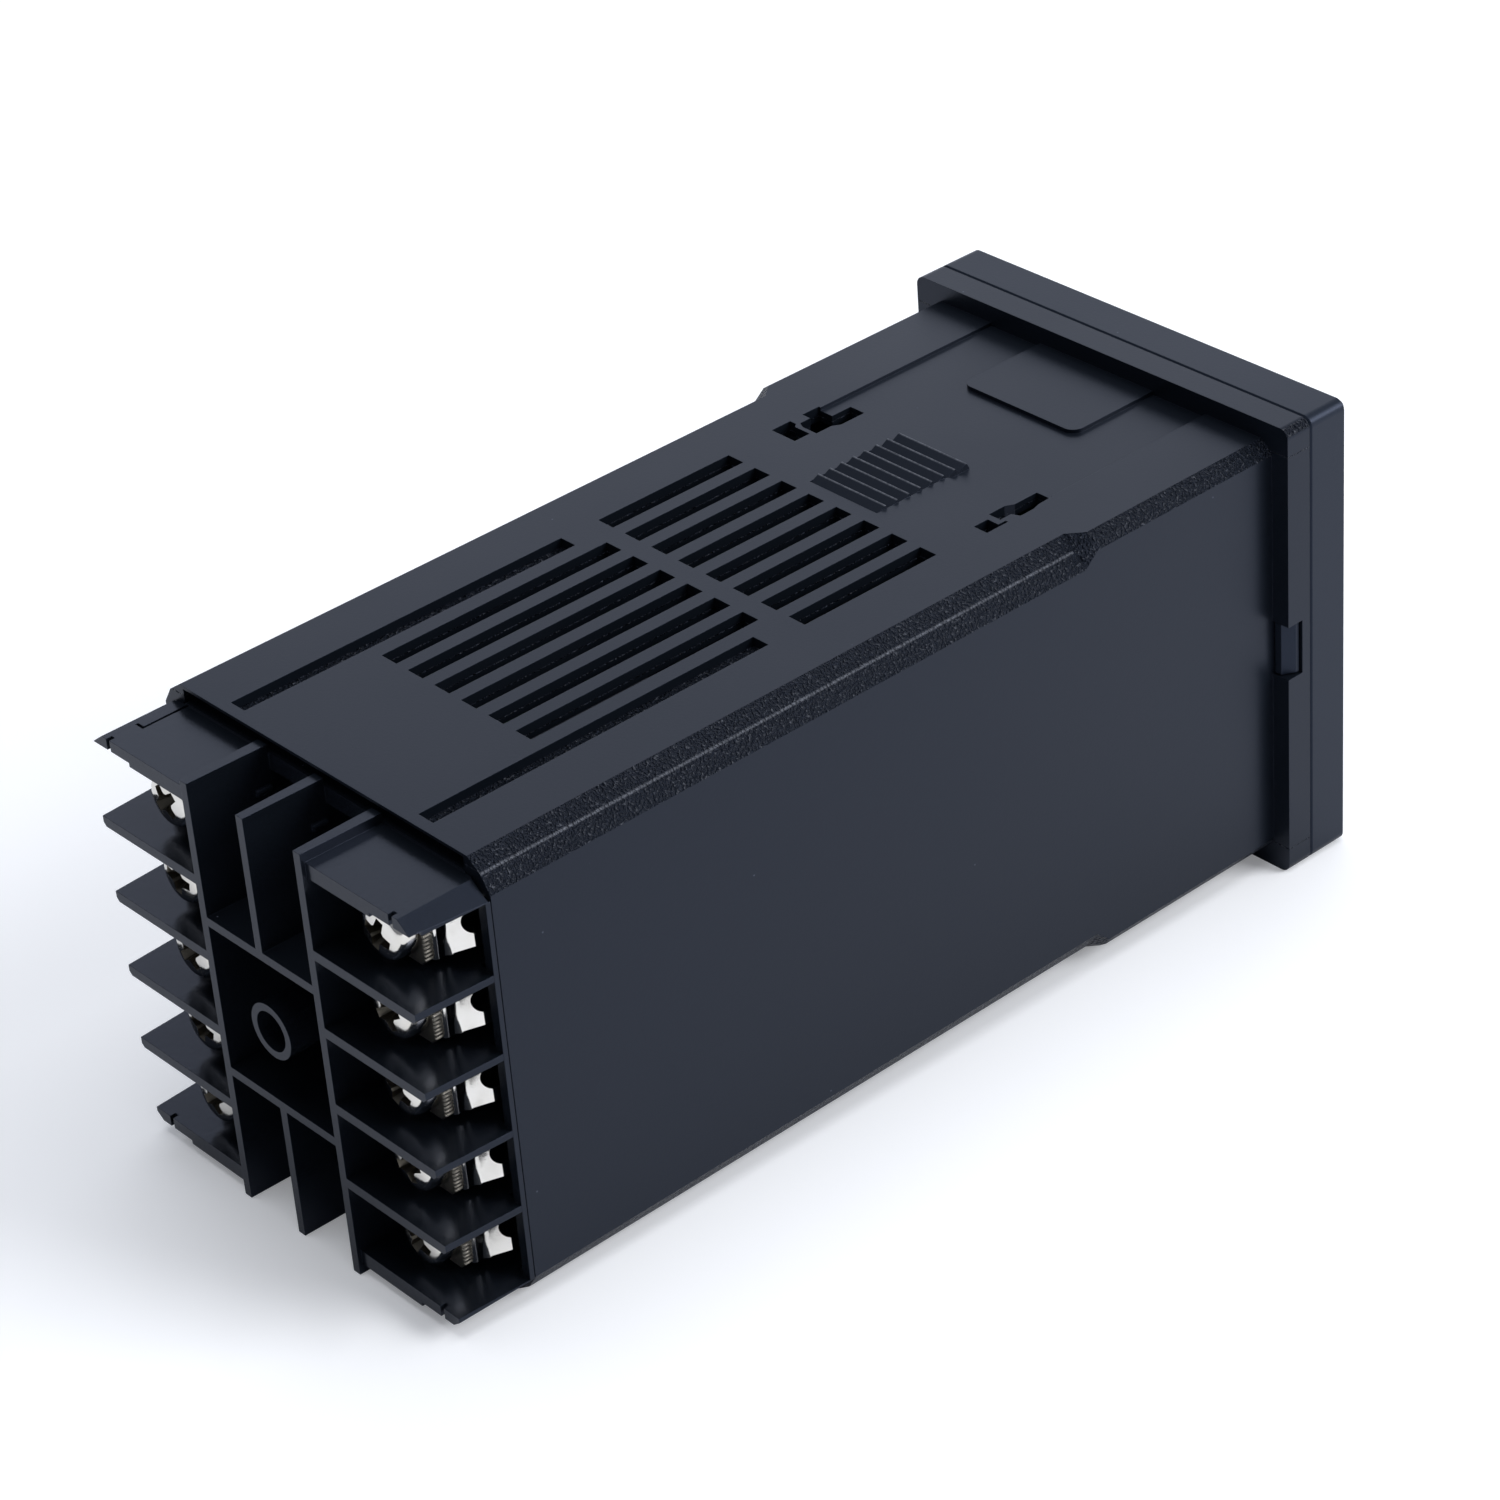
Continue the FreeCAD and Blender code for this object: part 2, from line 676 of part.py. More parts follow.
def make_key(x):
    """Key cap with a retaining lip behind the frame and a stem to its switch."""
    plunger_face = DISPLAY_BOARD_Y - SWITCH_HEIGHT - PLUNGER_RISE
    shoulder = KEY_INSET + KEY_CHAMFER
    broken_edge = ramp_between(key_outline(x, -KEY_CHAMFER), key_outline(x, 0), KEY_INSET, shoulder)
    cap = prism(key_outline(x, 0), "y", shoulder, BEZEL_FACE + KEY_LIP_THICK)
    lip_x = KEY_WIDTH / 2 + KEY_LIP
    lip_z = KEY_HEIGHT / 2 + KEY_LIP
    lip = box(x - lip_x, x + lip_x, BEZEL_FACE, BEZEL_FACE + KEY_LIP_THICK,
              KEY_Z - lip_z, KEY_Z + lip_z)
    stem = square_bar(x, KEY_Z, KEY_STEM_WIDTH, BEZEL_FACE, plunger_face)
    return fuse([broken_edge, cap, lip, stem])


def make_plunger(x):
    """Plunger of a key switch, from the key's stem into the switch housing."""
    housing_face = DISPLAY_BOARD_Y - SWITCH_HEIGHT
    return square_bar(x, KEY_Z, PLUNGER_WIDTH, housing_face - PLUNGER_RISE, housing_face + PLUNGER_HOLD)


def make_switch(x):
    """Switch housing on the display board, with the well for its plunger."""
    half = SWITCH_SIZE / 2
    face = DISPLAY_BOARD_Y - SWITCH_HEIGHT
    housing = box(x - half, x + half, face, DISPLAY_BOARD_Y, KEY_Z - half, KEY_Z + half)
    well_end = face + PLUNGER_HOLD + KEY_TRAVEL + PLUNGER_CLEARANCE
    well = square_bar(x, KEY_Z, PLUNGER_WIDTH + 2 * PLUNGER_CLEARANCE, face - OVERCUT, well_end)
    return cut(housing, [well])


def make_display(centre_z, height):
    """Four-digit module between the window and the display board."""
    front = BEZEL_FACE + WINDOW_LIP_THICK + DISPLAY_GAP
    half = DISPLAY_WIDTH / 2
    return box(-half, half, front, DISPLAY_BOARD_Y, centre_z - height / 2, centre_z + height / 2)


def make_lamps():
    """Column of small lamps on the display board, beside the digits."""
    half = LAMP_SIZE / 2
    face = DISPLAY_BOARD_Y - LAMP_HEIGHT
    middle = LAMP_INSET - WINDOW_WIDTH / 2
    lamps = []
    for z in centred_places(LAMP_COUNT, LAMP_PITCH):
        level = WINDOW_Z + z
        lamps.append(box(middle - half, middle + half, face, DISPLAY_BOARD_Y, level - half, level + half))
    return Part.makeCompound(lamps)


def make_display_board():
    """Square board behind the window, with cut corners."""
    half_width = CAVITY_X - DISPLAY_BOARD_GAP
    half_height = CAVITY_Z - DISPLAY_BOARD_GAP
    outline = cut_corner_outline(half_width, half_height, DISPLAY_BOARD_CORNER)
    return prism(outline, "y", DISPLAY_BOARD_Y, DISPLAY_BOARD_BACK)


def make_long_board():
    """Long upright board on the +x side, with a narrower tongue inside the block's skirt."""
    half = CAVITY_Z - LONG_BOARD_EDGE_GAP
    tongue_start = SKIRT_START - LONG_BOARD_TONGUE_GAP
    tongue = half - LONG_BOARD_TONGUE_INSET
    side_view = [
        (LONG_BOARD_START, -half),
        (tongue_start, -half),
        (tongue_start, -tongue),
        (LONG_BOARD_END, -tongue),
        (LONG_BOARD_END, tongue),
        (tongue_start, tongue),
        (tongue_start, half),
        (LONG_BOARD_START, half),
    ]
    return prism(side_view, "x", LONG_BOARD_INNER, LONG_BOARD_X)


def make_header():
    """Right-angle pin header in the corner between the display board and a long board."""
    half = HEADER_LENGTH / 2
    board = LONG_BOARD_INNER
    body_end = DISPLAY_BOARD_BACK + HEADER_DEPTH
    pin_end = body_end + HEADER_PIN_REACH
    body = box(board - HEADER_DEPTH, board, DISPLAY_BOARD_BACK, body_end, -half, half)
    pin = HEADER_PIN / 2
    middle = board - HEADER_DEPTH / 2
    pins = []
    for z in centred_places(HEADER_PIN_COUNT, HEADER_PIN_PITCH):
        pins.append(box(middle - pin, middle + pin, body_end, pin_end, z - pin, z + pin))
        pins.append(box(middle - pin, board, pin_end - HEADER_PIN, pin_end, z - pin, z + pin))
    return fuse([body] + pins)


def make_core():
    """Transformer core: a laminated frame with three limbs and two windows."""
    face = -LONG_BOARD_INNER + BOBBIN_OVERHANG
    back = face + CORE_DEPTH
    half = CORE_HEIGHT / 2
    core = box(face, back, CORE_Y - CORE_LENGTH / 2, CORE_Y + CORE_LENGTH / 2, -half, half)
    low = -half + CORE_LIMB
    windows = []
    for start in (CORE_Y - CORE_LIMB - CORE_WINDOW, CORE_Y + CORE_LIMB):
        windows.append(box(face - OVERCUT, back + OVERCUT, start, start + CORE_WINDOW, low, -low))
    return cut(core, windows)


def make_bobbin():
    """Winding and its flanges around the core's middle limb."""
    near = -LONG_BOARD_INNER
    far = near + CORE_DEPTH + 2 * BOBBIN_OVERHANG
    gap = BOBBIN_CLEARANCE
    reach = CORE_LIMB + CORE_WINDOW - gap
    top = CORE_HEIGHT / 2 - CORE_LIMB - gap
    start = CORE_Y - reach
    end = CORE_Y + reach
    coil = box(near, far, start, end, -top + BOBBIN_FLANGE, top - BOBBIN_FLANGE)
    upright_edges = [e for e in coil.Edges if abs(e.tangentAt(e.FirstParameter).z) > 0.99]
    coil = coil.makeFillet(COIL_RADIUS, upright_edges)
    flanges = []
    for level in (-top, top - BOBBIN_FLANGE):
        flanges.append(box(near, far, start, end, level, level + BOBBIN_FLANGE))
    limb = CORE_LIMB + gap
    hollow = box(near + BOBBIN_OVERHANG - gap, far - BOBBIN_OVERHANG + gap,
                 CORE_Y - limb, CORE_Y + limb, -CORE_HEIGHT, CORE_HEIGHT)
    return cut(fuse([coil] + flanges), [hollow])


def make_relay(centre_z):
    """Sealed relay standing on the power board."""
    inner = -LONG_BOARD_INNER
    half_length = RELAY_LENGTH / 2
    half_width = RELAY_WIDTH / 2
    relay = box(inner, inner + RELAY_HEIGHT, RELAY_Y - half_length, RELAY_Y + half_length,
                centre_z - half_width, centre_z + half_width)
    top_edges = [e for e in relay.Edges if e.BoundBox.XMin > inner + RELAY_HEIGHT - 1e-3]
    return relay.makeChamfer(RELAY_EDGE, top_edges)


def make_big_can():
    """Smoothing capacitor standing on the power board."""
    inner = -LONG_BOARD_INNER
    return rod("x", BIG_CAN_Y, BIG_CAN_Z, inner, inner + BIG_CAN_LENGTH, BIG_CAN_RADIUS)


def make_small_cans():
    """Row of small capacitors standing on the main board."""
    foot = LONG_BOARD_INNER
    top = foot - SMALL_CAN_LENGTH
    cans = []
    for y in centred_places(SMALL_CAN_COUNT, SMALL_CAN_PITCH):
        outline = ring(SMALL_CAN_Y + y, SMALL_CAN_Z, SMALL_CAN_RADIUS, SMALL_SIDES)
        cans.append(prism(outline, "x", top, foot))
    return Part.makeCompound(cans)


def make_chip():
    """Processor lying on the main board."""
    half = CHIP_SIZE / 2
    board = LONG_BOARD_INNER
    return box(board - CHIP_THICK, board, CHIP_Y - half, CHIP_Y + half, -half, half)


def tapered_wall(middle, front_thick, rear_thick, z0, z1, y0, y1):
    """Upright wall along y that grows thinner towards the rear."""
    plan = [
        (middle - front_thick / 2, y0),
        (middle + front_thick / 2, y0),
        (middle + rear_thick / 2, y1),
        (middle - rear_thick / 2, y1),
    ]
    return prism(plan, "z", z0, z1)


def fin_levels():
    """Middle heights of the fins between neighbouring bays."""
    return [STACK_Z + z for z in centred_places(BAYS_PER_SIDE - 1, BAY_PITCH)]


def bay_levels():
    """Middle heights of the bays, top one first."""
    return [STACK_Z + z for z in centred_places(BAYS_PER_SIDE, BAY_PITCH)][::-1]


def side_plan():
    """Outline from above of a fin or plate, from the spine to the tapered side."""
    inner = SPINE_X
    outer = HALF_WIDTH - RIM_INSET
    return [
        (inner, BAY_FLOOR - ROOT),
        (SKIRT_X - ROOT, BAY_FLOOR - ROOT),
        (SKIRT_X - ROOT, CASE_END + RIM_DEPTH / 2),
        (outer, CASE_END + RIM_DEPTH / 2),
        (outer - FIN_TAPER, OVERALL_LENGTH),
        (inner, OVERALL_LENGTH),
    ]


def make_fin(level):
    """Fin between two bays, with its lower outer edge broken."""
    fin = prism(side_plan(), "z", level - FIN_THICK / 2, level + FIN_THICK / 2)
    lower_side = []
    for edge in fin.Edges:
        place = edge.BoundBox
        outside = place.XMin > POCKET_X and place.YMax > OVERALL_LENGTH - 1e-3
        if outside and place.ZMax < level:
            lower_side.append(edge)
    return fin.makeChamfer(FIN_CHAMFER, lower_side)


def outer_plate(inner_face, outward):
    """Plate that closes a column of bays: flat, with a sloping border and a notched rear edge."""
    outer_face = inner_face + outward * PLATE_THICK
    low = min(inner_face, outer_face)
    high = low + PLATE_THICK
    under = low - OVERCUT
    over = high + OVERCUT
    slab = prism(side_plan(), "z", low, high)
    reach = HALF_WIDTH
    beyond = outer_face + outward * OVERCUT
    border = reach - PLATE_SLOPE_WIDTH
    slope = prism(
        [
            (border, outer_face),
            (reach, outer_face - outward * PLATE_SLOPE_DROP),
            (reach, beyond),
            (border, beyond),
        ],
        "y", BAY_FLOOR - OVERCUT, OVERALL_LENGTH + OVERCUT)
    end = OVERALL_LENGTH + OVERCUT
    rear = box(0, reach, PLATE_END, end, under, over)
    notch_x = reach - NOTCH_INSET
    notch = box(notch_x, notch_x + NOTCH_WIDTH, PLATE_END - NOTCH_DEPTH, end, under, over)
    relief_x = reach - RELIEF_WIDTH
    relief = box(relief_x, reach, PLATE_END - RELIEF_LENGTH, end, under, low + RELIEF_DEPTH)
    return cut(slab, [slope, rear, notch, relief])


def plate_line():
    """Hooked line pressed into the outer face of the upper plate on the +x side."""
    face = STACK_Z + BAY_HALF_STACK + PLATE_THICK
    half = LINE_GROOVE_WIDTH / 2
    end = CASE_END + LINE_GROOVE_LENGTH
    low = face - LINE_GROOVE_DEPTH
    high = face + OVERCUT
    middle = HALF_WIDTH - LINE_GROOVE_INSET
    near = middle - half
    straight = box(near, middle + half, CASE_END + RIM_INSET, end, low, high)
    hook = box(near, middle + LINE_GROOVE_HOOK, end - LINE_GROOVE_WIDTH, end, low, high)
    return straight.fuse(hook)


def pedestal(level):
    """Plastic under the terminal's seat, and the web that joins it to the spine."""
    half = SEAT_HALF - PEDESTAL_INSET
    top = SEAT_FACE - SEAT_THICK
    inner = TERMINAL_X - SEAT_INNER_REACH
    outer = LEG_X - SEAT_THICK - TAIL_CLEARANCE
    foot = box(inner, outer, BAY_FLOOR - ROOT, top, level - half, level + half)
    web_half = PEDESTAL_WEB_WIDTH / 2
    web_top = top - PEDESTAL_WEB_DROP
    web = box(SPINE_X, inner + ROOT, BAY_FLOOR - ROOT, web_top, level - web_half, level + web_half)
    return foot.fuse(web)


def screw_way(level):
    """Square well below the seat that takes the end of the screw."""
    end = WASHER_FACE - SCREW_LENGTH - SCREW_WAY_SPARE
    return square_bar(TERMINAL_X, level, 2 * (SCREW_RADIUS + SCREW_WAY_CLEARANCE), end, SEAT_FACE)


def tail_way(level):
    """Slot in the block's floor for the terminal's tail."""
    gap = TAIL_CLEARANCE
    half = TAIL_WIDTH / 2 + gap
    near = TAIL_X - SEAT_THICK - gap
    return box(near, TAIL_X + gap, BLOCK_BACK - OVERCUT, BAY_FLOOR + OVERCUT, level - half, level + half)


def channel_rib(x, level):
    """Short rounded rib on a channel's wall, near the case's rear edge."""
    start = CASE_END + RIB_SETBACK
    return rod("y", x, level, start, start + RIB_LENGTH, RIB_RADIUS)


def block_base():
    """Skirt in the case's mouth, closed by a floor, with a pocket for the bays behind it."""
    outline = cut_corner_outline(SKIRT_X, SKIRT_Z, INNER_CORNER)
    skirt = prism(outline, "y", SKIRT_START, CASE_END + RIM_INSET)
    hollow_outline = cut_corner_outline(POCKET_X, SKIRT_Z - BLOCK_SKIRT_WALL, INNER_CORNER)
    hollow = prism(hollow_outline, "y", SKIRT_START - OVERCUT, BLOCK_BACK)
    low = STACK_Z - BAY_HALF_STACK
    high = STACK_Z + BAY_HALF_STACK
    pocket = box(-POCKET_X, POCKET_X, BAY_FLOOR, CASE_END + OVERCUT, low, high)
    sides = box(-HALF_WIDTH, HALF_WIDTH, CASE_END - SKIRT_SIDE_GAP, CASE_END + OVERCUT, low, high)
    return cut(skirt, [hollow, pocket, sides])


def block_spines():
    """Upright walls of the two channels and the box between them, with its boss."""
    reach = HALF_HEIGHT - SPINE_INSET
    top = STACK_Z + reach
    low = STACK_Z - reach
    start = BAY_FLOOR - ROOT
    end = OVERALL_LENGTH
    walls = []
    for x in (-SPINE_X, SPINE_X):
        walls.append(tapered_wall(x, SPINE_THICK_FRONT, SPINE_THICK_REAR, low, top, start, end))
    for z0, z1 in ((STACK_Z + BAY_PITCH, top), (low, STACK_Z - BAY_PITCH)):
        walls.append(tapered_wall(0, MID_SPINE_THICK_FRONT, SPINE_THICK_REAR, z0, z1, start, end))
    half = CROSS_WALL_THICK / 2
    for level in (STACK_Z - BAY_PITCH, STACK_Z + BAY_PITCH):
        walls.append(box(-SPINE_X, SPINE_X, start, end, level - half, level + half))
    walls.append(channel_rib(SPINE_X - SPINE_THICK_FRONT / 2, top - RIB_DROP))
    walls.append(channel_rib(-MID_SPINE_THICK_FRONT / 2, top - RIB_DROP))
    walls.append(rod("y", 0, STACK_Z, start, end, BOSS_RADIUS))
    return walls


def block_side():
    """Everything of one column of bays on the +x side: fins, plates, feet and the rim."""
    pieces = [make_fin(level) for level in fin_levels()]
    pieces.append(outer_plate(STACK_Z + BAY_HALF_STACK, 1))
    pieces.append(outer_plate(STACK_Z - BAY_HALF_STACK, -1))
    pieces += [pedestal(level) for level in bay_levels()]
    half = BAY_HALF_STACK + RIM_INSET
    pieces.append(box(HALF_WIDTH - RIM_WIDTH, HALF_WIDTH - RIM_INSET, CASE_END + RIM_INSET / 2,
                      CASE_END + RIM_DEPTH, STACK_Z - half, STACK_Z + half))
    return pieces


def make_terminal_block():
    """Moulded block: a skirt in the case's mouth, ten bays, two channels, a box and a boss."""
    walls = block_spines()
    for piece in block_side():
        walls += both_sides(piece)
    mouth = cut_corner_outline(SKIRT_X, SKIRT_Z, INNER_CORNER)
    inside_mouth = prism(mouth, "y", SKIRT_START, CASE_END + RIM_INSET)
    outside_mouth = box(-HALF_WIDTH, HALF_WIDTH, CASE_END + RIM_INSET, OVERALL_LENGTH, -BEZEL, BEZEL)
    envelope = inside_mouth.fuse(outside_mouth)
    block = fuse([block_base(), fuse(walls).common(envelope)])

    bore_floor = OVERALL_LENGTH - BOSS_BORE_DEPTH
    holes = [rod("y", 0, STACK_Z, bore_floor, OVERALL_LENGTH + OVERCUT, BOSS_BORE_RADIUS)]
    for level in bay_levels():
        holes += both_sides(screw_way(level))
        holes += both_sides(tail_way(level))
    holes.append(plate_line())
    return cut(block, holes)


def leg_section(x_outer):
    """Section across y of the terminal's leg: a strip whose outer edges are broken."""
    half = SEAT_HALF
    inner = x_outer - SEAT_THICK
    edge = inner + LEG_EDGE_THICK
    return [
        (inner, -half),
        (edge, -half),
        (x_outer, -half + LEG_EDGE),
        (x_outer, half - LEG_EDGE),
        (edge, half),
        (inner, half),
    ]


def make_terminal_plate(level):
    """Bent plate: a tapped seat, a flared leg with a round hole, and a tail to the board."""
    half = SEAT_HALF
    seat_back = SEAT_FACE - SEAT_THICK
    seat = box(TERMINAL_X - SEAT_INNER_REACH, LEG_X - SEAT_THICK / 2, seat_back, SEAT_FACE, -half, half)
    bend = prism(leg_section(LEG_X), "y", seat_back, SEAT_FACE)
    leg_end = SEAT_FACE - LEG_LENGTH
    leg = ramp_between(leg_section(TAIL_X), leg_section(LEG_X), leg_end, seat_back)
    tail_half = TAIL_WIDTH / 2
    tail = box(TAIL_X - SEAT_THICK, TAIL_X, BLOCK_BACK - TAIL_LENGTH, leg_end, -tail_half, tail_half)
    plate = fuse([seat, bend, leg, tail])
    tapped = prism(ring(TERMINAL_X, 0, SCREW_RADIUS + SCREW_CLEARANCE, SMALL_SIDES),
                   "y", seat_back - OVERCUT, SEAT_FACE + OVERCUT)
    leg_hole = prism(ring(SEAT_FACE - LEG_HOLE_BACK, 0, LEG_HOLE_RADIUS, SMALL_SIDES),
                     "x", LEG_X - SEAT_THICK - OVERCUT, TAIL_X + OVERCUT)
    return cut(plate, [tapped, leg_hole]).translated(Vector(0, 0, level))


def make_clamp_washer(level):
    """Square washer with cut corners and a ridged outer edge."""
    half = WASHER_SIZE / 2
    washer = prism(cut_corner_outline(half, half, WASHER_CORNER), "y", SEAT_FACE, WASHER_FACE)
    start = SEAT_FACE - OVERCUT
    end = WASHER_FACE + OVERCUT
    removed = [prism(ring(0, 0, SCREW_RADIUS + SCREW_CLEARANCE, SMALL_SIDES), "y", start, end)]
    mouth = SERRATION_WIDTH / 2
    for z in centred_places(SERRATION_COUNT, SERRATION_PITCH):
        groove = [(half, z - mouth), (half + OVERCUT, z - mouth), (half + OVERCUT, z + mouth),
                  (half, z + mouth), (half - SERRATION_DEPTH, z)]
        removed.append(prism(groove, "y", start, end))
    return cut(washer, removed).translated(Vector(TERMINAL_X, 0, level))


def make_terminal_screw(level):
    """Pan head screw with a cross recess, pointing into the block."""
    head_end = WASHER_FACE + HEAD_HEIGHT
    shoulder = head_end - HEAD_CROWN
    tip = WASHER_FACE - SCREW_LENGTH
    rim = ring(0, 0, HEAD_RADIUS, HEAD_SIDES)
    crown = ring(0, 0, HEAD_RADIUS - HEAD_CROWN, HEAD_SIDES)
    screw = fuse([
        prism(ring(0, 0, SCREW_RADIUS, SMALL_SIDES), "y", tip, WASHER_FACE),
        prism(rim, "y", WASHER_FACE, shoulder),
        ramp_between(rim, crown, shoulder, head_end),
    ])
    floor_x = RECESS_FLOOR_SPAN / 2
    floor_z = RECESS_FLOOR_WIDTH / 2
    mouth_x = RECESS_SPAN / 2
    mouth_z = RECESS_WIDTH / 2
    arm = Part.makeWedge(-floor_x, head_end - RECESS_DEPTH, -floor_z, -mouth_z, -mouth_x,
                         floor_x, head_end, floor_z, mouth_z, mouth_x)
    cross = fuse([arm, arm.rotated(Vector(0, 0, 0), Vector(0, 1, 0), 90)])
    return cut(screw, [cross]).translated(Vector(TERMINAL_X, 0, level))


def collect():
    """All pieces by node name, about the case's axis."""
    parts = {
        "case": make_case(),
        "front_bezel": make_front_bezel(),
        "terminal_block": make_terminal_block(),
        "display_window": make_display_window(),
        "display_board": make_display_board(),
        "upper_display": make_display(WINDOW_Z + UPPER_DISPLAY_RISE, UPPER_DISPLAY_HEIGHT),
        "lower_display": make_display(WINDOW_Z - LOWER_DISPLAY_DROP, LOWER_DISPLAY_HEIGHT),
        "status_leds": make_lamps(),
        "tact_switches": Part.makeCompound([make_switch(x) for x in key_places()]),
        "board_headers": Part.makeCompound(both_sides(make_header())),
        "main_board": make_long_board(),
        "power_board": mirror_x(make_long_board()),
        "transformer_core": make_core(),
        "transformer_bobbin": make_bobbin(),
        "output_relay": make_relay(RELAY_Z),
        "alarm_relay": make_relay(-RELAY_Z),
        "smoothing_capacitor": make_big_can(),
        "small_capacitors": make_small_cans(),
        "processor_chip": make_chip(),
    }
    for name, x in zip(KEY_NAMES, key_places()):
        parts[f"key_{name}"] = make_key(x)
        parts[f"plunger_{name}"] = make_plunger(x)
    for i, level in enumerate(bay_levels()):
        pieces = {
            "terminal_plate": make_terminal_plate(level),
            "clamp_washer": make_clamp_washer(level),
            "terminal_screw": make_terminal_screw(level),
        }
        for name, shape in pieces.items():
            parts[f"{name}_{i + 1}"] = shape
            parts[f"{name}_{i + 1 + BAYS_PER_SIDE}"] = mirror_x(shape)
    return parts


def main():
    os.makedirs("parts", exist_ok=True)
    shift = Vector(0, -OVERALL_LENGTH / 2, BEZEL / 2)
    for name, shape in collect().items():
        placed = shape.translated(shift)
        placed.exportStep(f"parts/{name}.step")
        volume = round(placed.Volume, 1)
        print(name, "solids", len(placed.Solids), "volume", volume, "valid", placed.isValid())


main()
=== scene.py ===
import json
import math

import bpy
import numpy as np
from mathutils import Matrix, Vector


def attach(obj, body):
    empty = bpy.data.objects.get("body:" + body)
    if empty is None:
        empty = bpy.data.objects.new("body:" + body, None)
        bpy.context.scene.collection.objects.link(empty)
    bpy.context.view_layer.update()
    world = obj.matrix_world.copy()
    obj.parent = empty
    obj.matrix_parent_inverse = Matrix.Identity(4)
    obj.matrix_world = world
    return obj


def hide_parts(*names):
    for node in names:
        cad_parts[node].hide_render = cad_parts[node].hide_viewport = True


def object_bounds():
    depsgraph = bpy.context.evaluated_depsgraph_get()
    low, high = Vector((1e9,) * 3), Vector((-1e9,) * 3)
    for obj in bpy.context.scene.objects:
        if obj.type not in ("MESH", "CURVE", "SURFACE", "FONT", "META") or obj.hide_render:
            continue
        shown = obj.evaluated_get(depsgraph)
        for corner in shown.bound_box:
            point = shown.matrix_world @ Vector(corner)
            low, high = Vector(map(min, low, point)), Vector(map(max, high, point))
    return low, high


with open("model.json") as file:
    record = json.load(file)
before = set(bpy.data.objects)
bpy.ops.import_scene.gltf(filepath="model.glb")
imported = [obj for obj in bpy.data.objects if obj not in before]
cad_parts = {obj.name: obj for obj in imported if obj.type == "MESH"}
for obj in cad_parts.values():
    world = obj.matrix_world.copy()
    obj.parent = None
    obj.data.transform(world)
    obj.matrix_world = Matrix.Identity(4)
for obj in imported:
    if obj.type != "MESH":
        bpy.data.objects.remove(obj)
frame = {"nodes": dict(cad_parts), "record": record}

cad_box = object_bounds()
MM = 0.001
# Half the part's length and its axis above the ground, in millimetres.
HALF_LENGTH = (cad_box[1][1] - cad_box[0][1]) / 2 / MM
AXIS_Z = (cad_box[0][2] + cad_box[1][2]) / 2 / MM

MATH, MIX, NOISE = "ShaderNodeMath", "ShaderNodeMix", "ShaderNodeTexNoise"
RANGE, BUMP, SHADER = "ShaderNodeMapRange", "ShaderNodeBump", "ShaderNodeBsdfPrincipled"
# Sockets of the Mix node that share their names, by number.
COLOUR_A, COLOUR_B, COLOUR_RESULT = 6, 7, 2
VECTOR_A, VECTOR_B, VECTOR_RESULT = 4, 5, 1


def place(x, y, z):
    """Millimetres about the case's axis, y from the front face, to metres in the frame."""
    return Vector((x * MM, (y - HALF_LENGTH) * MM, (z + AXIS_Z) * MM))


def linear(code):
    """Hex sRGB code to linear red, green, blue and alpha 1."""
    channels = [int(code[i:i + 2], 16) / 255 for i in (1, 3, 5)]
    return [c / 12.92 if c <= 0.04045 else ((c + 0.055) / 1.055) ** 2.4 for c in channels] + [1.0]


def per_mm(size):
    """Scale for a texture on Object coordinates whose features are this many millimetres wide."""
    return 1 / (size * MM)


def bands_per_mm(size):
    """Scale for a wave texture on Object coordinates: a band every 2 pi times this size."""
    return per_mm(size) / 20


def add(tree, kind, inputs=None, **settings):
    """Adds a node, sets what it has and links or sets its inputs by name or number."""
    node = tree.nodes.new(kind)
    for key, value in settings.items():
        setattr(node, key, value)
    for key, value in (inputs or {}).items():
        if isinstance(value, bpy.types.NodeSocket):
            tree.links.new(value, node.inputs[key])
        else:
            node.inputs[key].default_value = value
    return node


def new_material(name):
    """Empty node tree with its output and its surface coordinates."""
    material = bpy.data.materials.new(name)
    material.use_nodes = True
    tree = material.node_tree
    tree.nodes.clear()
    out = tree.nodes.new("ShaderNodeOutputMaterial")
    spot = tree.nodes.new("ShaderNodeTexCoord")
    return material, tree, out, spot.outputs["Object"]


# Where the case's plastic differs, in millimetres: y from the front face, level up or down from
# the axis, x to either side of it, and reach as level and x together, which is largest on the
# ridge between two corner facets. The lean is a part of the face's normal, not a length.
CORNER_LEAN = 0.25
GROOVE_FLOOR_LEVEL, GROOVE_FLOOR_BAND = 21.25, 0.06
RAMP_Y, RAMP_HALF_LENGTH = 31.5, 0.65
RAMP_X, RAMP_HALF_WIDTH = 9.2, 4.75
RAMP_MIN_LEVEL = 19.5
RIDGE_START_Y = 32.6
RIDGE_REACH = (42.06, 42.1)
RATCHET_Y, RATCHET_HALF_LENGTH = 34.8, 6.0
CREST_LEVEL = (22.46, 22.54)
PIT_WIDTH = 0.27
PIT_BUMP = 1.3


